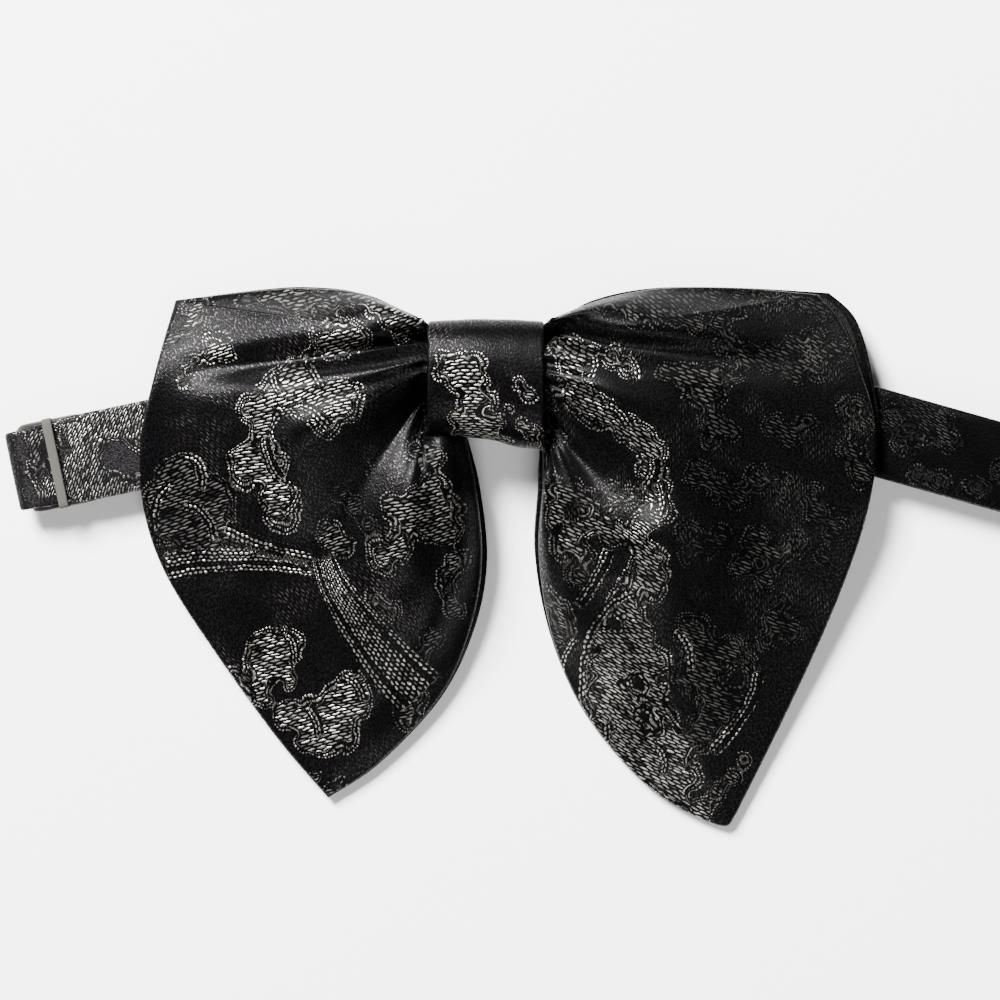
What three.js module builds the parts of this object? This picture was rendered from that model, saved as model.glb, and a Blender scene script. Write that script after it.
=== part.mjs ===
// An oversized ready-tied bow tie of black jacquard satin, lying on its back with its face up.
// Its adjustable neck strap is closed behind it and pressed flat into a long, narrow loop.
// Millimetres. X runs along the bow, Y to its upper edge, Z out of its face.
// The origin is on the surface that it lies on, below the middle of the knot.

import * as THREE from 'three';

// Cloth and clearances
const clothWall = 1.2;
const seamGap = 0.3;
const panelGap = 0.5;
const frontRows = 15;
const backRows = 7;

// Neck strap: a flattened loop with a straight stretch on each side and a gentle arc between them
const strapWidth = 20;
const strapWall = 1.6;
const loopClearance = 4.8;
const strapFrontZ = strapWall + loopClearance;
const strapTopZ = strapFrontZ + strapWall;
const strapEdgeRound = 0.45;
const strapLeftHeading = 0.2076;
const strapRightHeading = -0.275;
const strapArcRadius = 170;
const strapArcStart = { x: -17.2, y: -1.1 };
const strapLeftReach = 93.6;
const strapRightReach = 149.4;
const strapStep = 6;

// Knot band, wrapped round the gathered necks of the two wings
const knotLeftX = -13.6;
const knotRightX = 13.2;
const knotTopY = 14.5;
const knotLowerLeftY = -12.7;
const knotLowerRightY = -15.9;
const knotBottomZ = strapTopZ + seamGap;
const knotTopZ = 23.8;
const knotWall = 1.3;
const knotSquareness = 2.5;
const knotSections = 34;
const knotStrips = 6;

// Slider and hook of the strap's adjuster. The strap is drawn in where it goes through them.
const sliderX = -99.4;
const sliderBarWidth = 2.2;
const sliderBarHeight = 1.1;
const sliderInside = 19.6;
const sliderEndWall = 0.7;
const strapInSlider = 19;
const strapInHook = 18.2;
const adjusterGap = 1.7;
const hookX = -99.3;
const hookLength = 16;
const hookBar = 1.4;
const hookSide = 1;
const hookThickness = 0.9;

const cloth = { color: 0x17161a, roughness: 0.42, metalness: 0 };
const clothBack = { color: 0x1b1916, roughness: 0.55, metalness: 0 };
const sliderFinish = { color: 0x96948c, roughness: 0.5, metalness: 0.1 };
const hookFinish = { color: 0x8d8a84, roughness: 0.35, metalness: 0.9 };

const lerp = (a, b, k) => a + (b - a) * k;
const clamp01 = (k) => Math.min(1, Math.max(0, k));
const ease = (k) => k * k * (3 - 2 * k);

// A closed solid lofted through rings of points. Each ring has an even number of points.
// An open loft is capped by strips between a ring's first and second half.
function loft(rings, closed = false) {
  const size = rings[0].length;
  const positions = [];
  for (const ring of rings) {
    for (const p of ring) {
      positions.push(p.x, p.y, p.z);
    }
  }
  const index = [];
  const quad = (a, b, c, d) => index.push(a, b, c, a, c, d);
  const spans = closed ? rings.length : rings.length - 1;
  for (let i = 0; i < spans; i++) {
    const here = i * size;
    const next = ((i + 1) % rings.length) * size;
    for (let k = 0; k < size; k++) {
      const after = (k + 1) % size;
      quad(here + k, next + k, next + after, here + after);
    }
  }
  if (!closed) {
    const last = (rings.length - 1) * size;
    for (let k = 0; k < size / 2 - 1; k++) {
      quad(k, k + 1, size - 2 - k, size - 1 - k);
      quad(last + size - 1 - k, last + size - 2 - k, last + k + 1, last + k);
    }
  }
  const geometry = new THREE.BufferGeometry();
  geometry.setAttribute('position', new THREE.Float32BufferAttribute(positions, 3));
  geometry.setIndex(index);
  if (enclosedVolume(geometry) < 0) {
    for (let k = 0; k < index.length; k += 3) {
      [index[k + 1], index[k + 2]] = [index[k + 2], index[k + 1]];
    }
    geometry.setIndex(index);
  }
  geometry.computeVertexNormals();
  return geometry;
}

// Six times the signed volume: it is positive when the faces point outwards.
function enclosedVolume(geometry) {
  const position = geometry.getAttribute('position');
  const index = geometry.getIndex().array;
  const corners = [new THREE.Vector3(), new THREE.Vector3(), new THREE.Vector3()];
  let total = 0;
  for (let k = 0; k < index.length; k += 3) {
    corners.forEach((corner, n) => corner.fromBufferAttribute(position, index[k + n]));
    total += corners[0].dot(corners[1].cross(corners[2]));
  }
  return total;
}

// A smooth curve through a table's rows, taking the named columns as its coordinates.
function throughRows(rows, k, columns) {
  const at = clamp01(k) * (rows.length - 1);
  const i = Math.min(rows.length - 2, Math.floor(at));
  const f = at - i;
  const pick = (n) => rows[Math.min(rows.length - 1, Math.max(0, n))];
  const out = {};
  for (const name of columns) {
    const [a, b, c, d] = [pick(i - 1)[name], pick(i)[name], pick(i + 1)[name], pick(i + 2)[name]];
    const bend = 2 * a - 5 * b + 4 * c - d;
    const twist = 3 * b - a - 3 * c + d;
    out[name] = b + 0.5 * f * (c - a + f * (bend + f * twist));
  }
  return out;
}

// The wings. Each outline runs from the knot along the upper edge to the corner, down the outer edge
// to the tip and back along the inner edge. hem is the height of the back panel's underside, and
// inset is how far the front panel's edge stays inside the back panel's. neck columns say which part of
// the gathered neck each edge fans out from, and puff how far the cloth stands up between neck and hem.
const leftWing = {
  side: -1,
  neckX: 14.7,
  edges: [
    {
      name: 'upper', columns: 9, neckFrom: 13.6, neckTo: 9.5, puff: 2.5, rows: [
        { x: -16.0, y: 15.2, hem: 11.0, inset: 1.0 },
        { x: -29.2, y: 20.7, hem: 9.0, inset: 0.5 },
        { x: -41.5, y: 22.2, hem: 6.5, inset: 1.2 },
        { x: -53.5, y: 21.6, hem: 4.0, inset: 0.6 },
        { x: -72.0, y: 19.3, hem: 2.2, inset: 0.0 },
      ],
    },
    {
      name: 'outer', columns: 17, neckFrom: 9.5, neckTo: -8.0, puff: 4.4, rows: [
        { x: -72.0, y: 19.3, hem: 2.2, inset: 0.0 },
        { x: -76.3, y: 2.5, hem: 8.2, inset: 0.0 },
        { x: -79.5, y: -13.5, hem: 8.9, inset: 0.0 },
        { x: -78.9, y: -29.0, hem: 8.3, inset: 0.0 },
        { x: -74.0, y: -44.3, hem: 4.6, inset: 0.0 },
        { x: -62.6, y: -62.6, hem: 1.8, inset: 0.0 },
        { x: -48.2, y: -82.6, hem: 0.6, inset: 0.0 },
        { x: -36.8, y: -95.9, hem: 0.0, inset: 0.0 },
      ],
    },
    {
      name: 'inner', columns: 14, neckFrom: -8.0, neckTo: -14.0, puff: 3.5, rows: [
        { x: -36.8, y: -95.9, hem: 0.0, inset: 0.0 },
        { x: -25.0, y: -88.0, hem: 0.2, inset: 0.3 },
        { x: -10.9, y: -73.0, hem: 1.0, inset: 0.5 },
        { x: -3.2, y: -57.5, hem: 2.8, inset: 1.6 },
        { x: 0.0, y: -41.5, hem: 5.6, inset: 2.4 },
        { x: -1.6, y: -24.0, hem: 8.4, inset: 1.4 },
        { x: -4.6, y: -14.6, hem: 9.0, inset: 0.4 },
      ],
    },
  ],
  folds: [
    {
      name: 'upper crease', rise: -5.5, riseEnd: -0.8, spread: 3.2, spreadEnd: 5.0,
      from: [-13.5, 8.6], via: [-38, 7.2], to: [-68, 1.4],
    },
    {
      name: 'bright ridge', rise: 2.0, riseEnd: 1.2, spread: 5.0, spreadEnd: 8.0,
      from: [-13.5, 3.5], via: [-30, 2.0], to: [-45, -10],
    },
    {
      name: 'ridge down the wing', rise: 1.8, riseEnd: 0.6, spread: 8.0, spreadEnd: 9.0,
      from: [-44, -9], via: [-50, -24], to: [-42, -36],
    },
    {
      name: 'deep fold', rise: -5.5, riseEnd: -1.8, spread: 5.0, spreadEnd: 6.0,
      from: [-13.5, -3.5], via: [-34, -12], to: [-46, -37],
    },
    {
      name: 'inner ridge', rise: 3.0, riseEnd: 1.5, spread: 4.5, spreadEnd: 7.0,
      from: [-15, -10], via: [-25, -22], to: [-22, -44],
    },
    {
      name: 'inner fold', rise: -3.0, riseEnd: -0.8, spread: 3.6, spreadEnd: 5.0,
      from: [-13, -13.5], via: [-13, -28], to: [-11, -42],
    },
    {
      name: 'pit', rise: -2.6, riseEnd: -2.0, spread: 6.0, spreadEnd: 7.0,
      from: [-56, -50], via: [-50, -55], to: [-44, -59],
    },
    {
      name: 'cross ridge', rise: 1.0, riseEnd: 1.6, spread: 6.0, spreadEnd: 6.0,
      from: [-66, -40], via: [-38, -42], to: [-17, -66],
    },
  ],
};

const rightWing = {
  side: 1,
  neckX: 14.4,
  edges: [
    {
      name: 'upper', columns: 10, neckFrom: 13.6, neckTo: 9.5, puff: 2.5, rows: [
        { x: 15.6, y: 15.0, hem: 11.0, inset: 0.6 },
        { x: 26.5, y: 19.3, hem: 9.4, inset: 0.4 },
        { x: 40.5, y: 21.9, hem: 8.0, inset: 0.4 },
        { x: 59.0, y: 22.0, hem: 6.4, inset: 0.4 },
        { x: 79.0, y: 20.9, hem: 4.6, inset: 2.6 },
      ],
    },
    {
      name: 'outer', columns: 18, neckFrom: 9.5, neckTo: -9.0, puff: 4.4, rows: [
        { x: 79.0, y: 20.9, hem: 4.6, inset: 2.6 },
        { x: 85.2, y: 14.5, hem: 6.0, inset: 3.6 },
        { x: 88.6, y: 1.8, hem: 8.6, inset: 2.4 },
        { x: 90.0, y: -11.5, hem: 9.0, inset: 0.6 },
        { x: 87.6, y: -29.0, hem: 8.3, inset: 0.0 },
        { x: 80.6, y: -50.5, hem: 4.4, inset: 0.0 },
        { x: 69.7, y: -75.2, hem: 1.6, inset: 0.0 },
        { x: 57.6, y: -99.8, hem: 0.1, inset: 0.0 },
      ],
    },
    {
      name: 'inner', columns: 15, neckFrom: -9.0, neckTo: -16.6, puff: 3.5, rows: [
        { x: 57.6, y: -99.8, hem: 0.1, inset: 0.0 },
        { x: 53.6, y: -102.3, hem: 0.0, inset: 0.0 },
        { x: 38.0, y: -94.0, hem: 0.2, inset: 0.2 },
        { x: 23.2, y: -77.2, hem: 0.8, inset: 0.3 },
        { x: 15.2, y: -59.5, hem: 2.8, inset: 0.4 },
        { x: 11.8, y: -40.0, hem: 5.8, inset: 0.4 },
        { x: 12.6, y: -24.0, hem: 8.4, inset: 0.4 },
        { x: 12.6, y: -17.2, hem: 9.0, inset: 0.2 },
      ],
    },
  ],
  folds: [
    {
      name: 'upper crease', rise: -5.0, riseEnd: -1.4, spread: 3.4, spreadEnd: 4.6,
      from: [13.3, 11.0], via: [34, 6.0], to: [66, 5.6],
    },
    {
      name: 'main ridge', rise: 1.8, riseEnd: 2.0, spread: 5.0, spreadEnd: 11.0,
      from: [13.3, 7.0], via: [36, -2.0], to: [40, -38],
    },
    {
      name: 'main ridge to the tip', rise: 1.8, riseEnd: 0.4, spread: 11.0, spreadEnd: 9.0,
      from: [40, -40], via: [39, -58], to: [44, -80],
    },
    {
      name: 'deep fold', rise: -6.0, riseEnd: -0.8, spread: 4.6, spreadEnd: 6.5,
      from: [13.3, -6.5], via: [24, -12], to: [33, -21],
    },
    {
      name: 'inner ridge', rise: 2.2, riseEnd: 1.0, spread: 4.0, spreadEnd: 6.0,
      from: [15, -14.5], via: [18, -24], to: [18, -40],
    },
    {
      name: 'outer hollow', rise: -1.2, riseEnd: -1.4, spread: 8.0, spreadEnd: 8.0,
      from: [52, -4], via: [66, -20], to: [64, -48],
    },
  ],
};

// Where a fold's centre line is, at k from 0 to 1.
function foldPoint(fold, k) {
  const bow = (n) => {
    return (1 - k) * (1 - k) * fold.from[n] + 2 * k * (1 - k) * fold.via[n] + k * k * fold.to[n];
  };
  return [bow(0), bow(1)];
}

// How far the folds lift or lower the front panel at a point seen from above.
function foldRise(wing, x, y) {
  const steps = 16;
  let rise = 0;
  for (const fold of wing.folds) {
    let nearest = Infinity;
    let along = 0;
    for (let i = 0; i < steps; i++) {
      const [ax, ay] = foldPoint(fold, i / steps);
      const [bx, by] = foldPoint(fold, (i + 1) / steps);
      const [dx, dy] = [bx - ax, by - ay];
      const f = clamp01(((x - ax) * dx + (y - ay) * dy) / (dx * dx + dy * dy));
      const distance = Math.hypot(x - ax - f * dx, y - ay - f * dy);
      if (distance < nearest) {
        nearest = distance;
        along = (i + f) / steps;
      }
    }
    const spread = lerp(fold.spread, fold.spreadEnd, along);
    rise += lerp(fold.rise, fold.riseEnd, along) * Math.exp(-((nearest / spread) ** 2));
  }
  return rise;
}

// The height of the gathered neck's skin above or below its middle, inside the knot.
const neckMiddleZ = (knotBottomZ + knotTopZ) / 2;
const neckMiddleY = 0.8;
const neckReachY = 10.9;
const neckHalfY = 12.1;
const neckHalfZ = (knotTopZ - knotBottomZ) / 2 - knotWall - 0.75;
const neckHeight = (y) => neckHalfZ * Math.sqrt(Math.max(0, 1 - (y / neckHalfY) ** 2));

// One column of a wing: its place in the neck, its end on the outline and its heights there.
function wingColumns(wing, isFront) {
  const columns = [];
  wing.edges.forEach((edge, n) => {
    const count = isFront ? edge.columns : Math.ceil(edge.columns * 0.6);
    for (let i = n === 0 ? 0 : 1; i <= count; i++) {
      const k = i / count;
      const end = throughRows(edge.rows, k, ['x', 'y', 'hem', 'inset']);
      const share = edge.name === 'inner' ? 1 - (1 - k) ** 4 : k;
      const nextPuff = wing.edges[Math.min(n + 1, wing.edges.length - 1)].puff;
      const puff = lerp(edge.puff, (edge.puff + nextPuff) / 2, ease(k));
      columns.push({ ...end, neckY: lerp(edge.neckFrom, edge.neckTo, share), puff });
    }
  });
  return columns;
}

// A wing panel is a loft through rows: two inside the knot, then from the knot out to the hem.
function wingPanel(wing, isFront) {
  const columns = wingColumns(wing, isFront);
  const rows = isFront ? frontRows : backRows;
  const top = columns[0].neckY;
  const bottom = columns[columns.length - 1].neckY;
  const rings = [];
  for (const x of [0.4, 7, -0.2]) {
    const upper = [];
    const lower = [];
    const rowX = x > 0 ? x : wing.neckX - 0.7;
    for (const column of columns) {
      const share = (column.neckY - bottom) / (top - bottom);
      const y = lerp(-neckReachY, neckReachY, share);
      const skin = neckHeight(y);
      const [high, low] = isFront ? [skin, seamGap / 2] : [-seamGap / 2, -skin];
      upper.push(new THREE.Vector3(wing.side * rowX, neckMiddleY + y, neckMiddleZ + high));
      lower.push(new THREE.Vector3(wing.side * rowX, neckMiddleY + y, neckMiddleZ + low));
    }
    rings.push([...upper, ...lower.reverse()]);
  }
  for (let i = 0; i <= rows; i++) {
    const upper = [];
    const lower = [];
    for (const column of columns) {
      const z = panelHeight(wing, column, i / rows, isFront);
      upper.push(new THREE.Vector3(z.x, z.y, z.top));
      lower.push(new THREE.Vector3(z.x, z.y, z.top - clothWall));
    }
    rings.push([...upper, ...lower.reverse()]);
  }
  return loft(rings);
}

// A point of a wing panel: s runs from the knot, 0, to the hem, 1.
function panelHeight(wing, column, s, isFront) {
  const neckX = wing.side * wing.neckX;
  const reach = Math.hypot(column.x - neckX, column.y - column.neckY);
  const end = isFront ? 1 - column.inset / reach : 1;
  const out = s * end;
  const x = lerp(neckX, column.x, out);
  const y = lerp(column.neckY, column.y, out);
  const backNeck = 9.0 + 1.6 * (column.neckY / 14) ** 2;
  const back = lerp(backNeck, column.hem, out ** 2) + clothWall;
  if (!isFront) {
    return { x, y, top: back };
  }
  const frontNeck = neckMiddleZ + 0.7 * neckHeight(column.neckY * 0.8);
  const hemTop = back + panelGap + clothWall;
  const dome = column.puff * Math.sin(Math.PI * clamp01(out) ** 0.75);
  const settle = 1 - clamp01(s) ** 5;
  const body = lerp(frontNeck, hemTop, ease(out ** 0.9)) + dome;
  const shaped = body + foldRise(wing, x, y) * settle;
  return { x, y, top: Math.max(hemTop, lerp(hemTop, shaped, settle)) };
}

// The knot band: a closed band round the necks, its section a rounded oblong across Y and Z.
function knotBand() {
  const rings = [];
  for (let i = 0; i < knotSections; i++) {
    const angle = (2 * Math.PI * i) / knotSections;
    const outer = [];
    const inner = [];
    for (let k = 0; k <= knotStrips; k++) {
      const across = k / knotStrips;
      const x = lerp(knotLeftX, knotRightX, across);
      outer.push(knotPoint(angle, across, x, 0));
      inner.push(knotPoint(angle, across, x, knotWall));
    }
    rings.push([...outer, ...inner.reverse()]);
  }
  return loft(rings, true);
}

function knotPoint(angle, across, x, depth) {
  const lowerY = lerp(knotLowerLeftY, knotLowerRightY, ease(clamp01(1.5 * across - 0.5)));
  const middleY = (knotTopY + lowerY) / 2;
  const swell = 0.35 * Math.sin(Math.PI * across);
  const halfY = (knotTopY - lowerY) / 2 - depth;
  const halfZ = (knotTopZ - knotBottomZ) / 2 - depth - 0.35;
  const power = 2 / knotSquareness;
  const y = Math.sign(Math.cos(angle)) * Math.abs(Math.cos(angle)) ** power;
  const z = Math.sign(Math.sin(angle)) * Math.abs(Math.sin(angle)) ** power;
  const lift = z > 0 ? swell : -swell;
  return new THREE.Vector3(x, middleY + halfY * y, neckMiddleZ + halfZ * z + lift * Math.abs(z));
}

// The strap's middle line seen from above, at a distance l along it from the start of its arc.
function strapPlan(l) {
  const arcLength = strapArcRadius * (strapLeftHeading - strapRightHeading);
  const turned = Math.min(arcLength, Math.max(0, l)) / strapArcRadius;
  const heading = strapLeftHeading - turned;
  const straight = l - turned * strapArcRadius;
  const arcX = strapArcRadius * (Math.sin(strapLeftHeading) - Math.sin(heading));
  const arcY = strapArcRadius * (Math.cos(heading) - Math.cos(strapLeftHeading));
  const x = strapArcStart.x + arcX + straight * Math.cos(heading);
  const y = strapArcStart.y + arcY + straight * Math.sin(heading);
  return { x, y, heading };
}

// A flat band of cloth along a route of stations, each a distance l along the plan and a height z.
function band(route, width, wall) {
  const rings = route.map((station, i) => {
    const before = route[Math.max(0, i - 1)];
    const after = route[Math.min(route.length - 1, i + 1)];
    const run = after.l - before.l;
    const climb = after.z - before.z;
    const length = Math.hypot(run, climb);
    const plan = strapPlan(station.l);
    const forward = [Math.cos(plan.heading), Math.sin(plan.heading)];
    const side = [-forward[1], forward[0]];
    const up = [-forward[0] * (climb / length), -forward[1] * (climb / length), run / length];
    const half = (station.width ?? width) / 2;
    const thick = wall / 2;
    const section = [
      [-half + strapEdgeRound, thick], [half - strapEdgeRound, thick],
      [half, thick - strapEdgeRound], [half, strapEdgeRound - thick],
      [half - strapEdgeRound, -thick], [-half + strapEdgeRound, -thick],
      [-half, strapEdgeRound - thick], [-half, thick - strapEdgeRound],
    ];
    return section.map(([a, b]) => new THREE.Vector3(
      plan.x + side[0] * a + up[0] * b,
      plan.y + side[1] * a + up[1] * b,
      station.z + up[2] * b,
    ));
  });
  return loft(rings);
}

// A straight run of stations at one height.
function run(from, to, z, width) {
  const count = Math.max(1, Math.round(Math.abs(to - from) / strapStep));
  return Array.from({ length: count + 1 }, (_, i) => ({ l: lerp(from, to, i / count), z, width }));
}

// A half turn of stations from height z1 to z2, bulging to the side given.
function halfTurn(l, z1, z2, side, width) {
  const radius = Math.abs(z2 - z1) / 2;
  const steps = 8;
  return Array.from({ length: steps - 1 }, (_, i) => {
    const angle = Math.PI * ((i + 1) / steps);
    const z = (z1 + z2) / 2 + ((z1 - z2) / 2) * Math.cos(angle);
    return { l: l + side * radius * Math.sin(angle), z, width };
  });
}

const lengthAtX = (x) => (x - strapArcStart.x) / Math.cos(strapLeftHeading);
const frontZ = strapFrontZ + strapWall / 2;
const backZ = strapWall / 2;
const returnZ = strapFrontZ - adjusterGap - strapWall / 2;
const strapSeamL = -strapArcStart.x;

// The left half: from under the knot over the hook and back below itself to the slider.
function strapLeft() {
  const sliderL = lengthAtX(sliderX);
  const foldL = -strapLeftReach + (frontZ - returnZ) / 2;
  return band([
    ...run(strapSeamL - seamGap / 2, sliderL + 4, frontZ),
    { l: sliderL + 1.5, z: frontZ, width: strapInSlider },
    { l: sliderL - 1.5, z: frontZ, width: strapInSlider },
    ...run(sliderL - 4, foldL, frontZ, strapInHook),
    ...halfTurn(foldL, frontZ, returnZ, -1, strapInHook),
    ...run(foldL, sliderL + 2, returnZ, strapInHook),
  ], strapWidth, strapWall);
}

// The right half: from under the knot out to its fold and back along the surface to the hook's eye.
function strapRight() {
  const foldL = strapRightReach - (frontZ - backZ) / 2;
  return band([
    ...run(strapSeamL + seamGap / 2, foldL, frontZ),
    ...halfTurn(foldL, frontZ, backZ, 1),
    ...run(foldL, lengthAtX(-95.5), backZ),
  ], strapWidth, strapWall);
}

// A closed loop of flat wire: an outer and an inner oblong with rounded corners, extruded.
function flatLoop(width, height, wireX, wireY, thickness) {
  const outline = new THREE.Shape();
  roundedOblong(outline, width, height, 0.8);
  const hole = new THREE.Path();
  roundedOblong(hole, width - 2 * wireX, height - 2 * wireY, 0.3);
  outline.holes.push(hole);
  const options = { depth: thickness, bevelEnabled: false, curveSegments: 3 };
  return new THREE.ExtrudeGeometry(outline, options).translate(0, 0, -thickness / 2);
}

function roundedOblong(path, width, height, radius) {
  const [x, y] = [width / 2, height / 2];
  path.moveTo(-x + radius, -y);
  path.lineTo(x - radius, -y);
  path.quadraticCurveTo(x, -y, x, -y + radius);
  path.lineTo(x, y - radius);
  path.quadraticCurveTo(x, y, x - radius, y);
  path.lineTo(-x + radius, y);
  path.quadraticCurveTo(-x, y, -x, y - radius);
  path.lineTo(-x, -y + radius);
  path.quadraticCurveTo(-x, -y, -x + radius, -y);
}

const group = new THREE.Group();

function addPiece(name, geometry, finish) {
  const mesh = new THREE.Mesh(geometry, new THREE.MeshStandardMaterial(finish));
  mesh.name = name;
  group.add(mesh);
  return mesh;
}

addPiece('left_wing_back', wingPanel(leftWing, false), clothBack);
addPiece('left_wing_front', wingPanel(leftWing, true), cloth);
addPiece('right_wing_back', wingPanel(rightWing, false), clothBack);
addPiece('right_wing_front', wingPanel(rightWing, true), cloth);
addPiece('knot_band', knotBand(), cloth);
addPiece('strap_left', strapLeft(), cloth);
addPiece('strap_right', strapRight(), cloth);

// The slider stands round the strap: its upper bar lies on the strap and its lower bar beneath it.
const sliderPlan = strapPlan(lengthAtX(sliderX));
const sliderHeight = strapWall + 2 * seamGap + 2 * sliderBarHeight;
const sliderLength = sliderInside + 2 * sliderEndWall;
const slider = addPiece(
  'slider',
  flatLoop(sliderLength, sliderHeight, sliderEndWall, sliderBarHeight, sliderBarWidth),
  sliderFinish,
);
slider.rotation.set(0, 0, sliderPlan.heading + Math.PI / 2);
slider.rotateX(Math.PI / 2);
slider.position.set(sliderPlan.x, sliderPlan.y, frontZ);

// The clasp: a hook whose bar lies in the strap's fold and whose tongue meets the other end's eye.
const hookPlan = strapPlan(lengthAtX(hookX));
const hookHighZ = strapFrontZ - adjusterGap / 2;
const hookLowZ = strapWall + seamGap + hookThickness / 2 + 0.1;
const clasp = addPiece(
  'clasp',
  flatLoop(hookLength, strapInHook + 2 * (hookSide + seamGap), hookBar, hookSide, hookThickness),
  hookFinish,
);
clasp.position.set(hookPlan.x, hookPlan.y, (hookHighZ + hookLowZ) / 2);
clasp.rotation.set(0, 0, hookPlan.heading);
clasp.rotateY(Math.asin((hookHighZ - hookLowZ) / (hookLength - hookBar)));

export default group;
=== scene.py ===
# Oversized ready-tied bow tie in black jacquard satin, lying face up on a white table.
# Lengths are in millimetres up to the mesh, where mm turns them into metres.
import functools
import math

import bpy
import numpy as np
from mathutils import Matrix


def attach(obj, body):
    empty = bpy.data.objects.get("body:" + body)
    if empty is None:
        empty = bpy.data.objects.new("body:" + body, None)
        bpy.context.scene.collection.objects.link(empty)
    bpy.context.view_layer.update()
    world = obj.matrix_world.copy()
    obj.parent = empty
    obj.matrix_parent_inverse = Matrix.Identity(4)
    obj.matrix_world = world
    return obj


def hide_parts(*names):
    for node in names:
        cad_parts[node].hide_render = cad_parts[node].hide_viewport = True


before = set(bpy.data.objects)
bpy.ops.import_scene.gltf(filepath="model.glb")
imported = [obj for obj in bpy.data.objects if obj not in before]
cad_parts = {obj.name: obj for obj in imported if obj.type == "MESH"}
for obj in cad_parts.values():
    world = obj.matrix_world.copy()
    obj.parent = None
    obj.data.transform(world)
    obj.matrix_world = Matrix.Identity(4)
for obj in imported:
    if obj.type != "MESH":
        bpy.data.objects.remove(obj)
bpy.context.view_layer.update()  # bodies, nodes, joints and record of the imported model
mm = 0.001


# sRGB hex to linear: c / 12.92 when small, otherwise ((c + 0.055) / 1.055) to the power 2.4.
def linearColour(hexText):
    parts = [int(hexText[i:i + 2], 16) / 255 for i in (1, 3, 5)]
    return [c / 12.92 if c <= 0.04045 else ((c + 0.055) / 1.055) ** 2.4 for c in parts] + [1.0]


# Feeds a node. A list holds its inputs in order, and a dictionary names or numbers them. An input takes
# a value, a socket, or a node, whose first output counts. Any other name is a setting of the node.
def feed(node, inputs):
    for key, value in (inputs.items() if isinstance(inputs, dict) else enumerate(inputs)):
        if isinstance(value, (bpy.types.Node, bpy.types.NodeSocket)):
            node.id_data.links.new(getattr(value, "outputs", [value])[0], node.inputs[key])
        elif isinstance(key, int) or key in node.inputs:
            node.inputs[key].default_value = value
        else:
            setattr(node, key, value)


# Adds a shader node with its settings and links. The second word of a kind such as "Math ADD" is its
# operation.
def addNode(tree, kind, inputs):
    kind, _, operation = kind.partition(" ")
    node = tree.nodes.new("ShaderNode" + kind)
    if operation:
        node.operation = operation
    feed(node, inputs)
    return node


# A new material, what adds a node to it, and its shader.
def newMaterial(name):
    material = bpy.data.materials.new(name)
    material.use_nodes = True
    tree = material.node_tree
    return material, functools.partial(addNode, tree), tree.nodes["Principled BSDF"]


# The mix of a and b: a plus k times their difference.
def lerp(a, b, k):
    return a + (b - a) * k


# Smooth step: 3 k squared minus 2 k cubed, held at 0 and 1 outside.
def ease(k):
    k = np.clip(k, 0, 1)
    return k * k * (3 - 2 * k)


print("camera and light")

camera = {
    "middle": (3.0, -26.9),  # what the middle of the picture looks at, from the knot's middle
    "height": 1000.0,        # straight above, far enough for little perspective
    "width": 230.0,          # what the picture spans from side to side
    "levelZ": 9.0,           # at this height above the table
}

cameraData = bpy.data.cameras.new("overhead")
cameraData.sensor_width = 36
cameraData.lens = 36 * (camera["height"] - camera["levelZ"]) / camera["width"]
cameraData.clip_start = 0.01
cameraObject = bpy.data.objects.new("overhead", cameraData)
cameraObject.location = (camera["middle"][0] * mm, camera["middle"][1] * mm, camera["height"] * mm)
bpy.context.collection.objects.link(cameraObject)
bpy.context.scene.camera = cameraObject

lamps = [
    {"name": "window", "at": (-0.85, 1.15, 1.35), "to": (0, -0.03, 0), "size": 0.7, "power": 335.0},
    {"name": "fill", "at": (0.2, -1.3, 1.7), "to": (0, -0.03, 0), "size": 1.0, "power": 30.0},
]


# An area lamp at a place, turned to face its target.
def addLamp(lamp):
    data = bpy.data.lights.new(lamp["name"], "AREA")
    data.size = lamp["size"]
    data.energy = lamp["power"]
    lampObject = bpy.data.objects.new(lamp["name"], data)
    lampObject.location = lamp["at"]
    away = np.array(lamp["at"]) - np.array(lamp["to"])
    flat = math.hypot(away[0], away[1])
    lampObject.rotation_euler = (math.atan2(flat, away[2]), 0, math.atan2(away[0], -away[1]))
    bpy.context.collection.objects.link(lampObject)


for lamp in lamps:
    addLamp(lamp)

world = bpy.data.worlds.new("studio")
world.use_nodes = True
world.node_tree.nodes["Background"].inputs["Color"].default_value = (1, 1, 1, 1)
world.node_tree.nodes["Background"].inputs["Strength"].default_value = 0.09
bpy.context.scene.world = world


print("surfaces")


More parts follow.
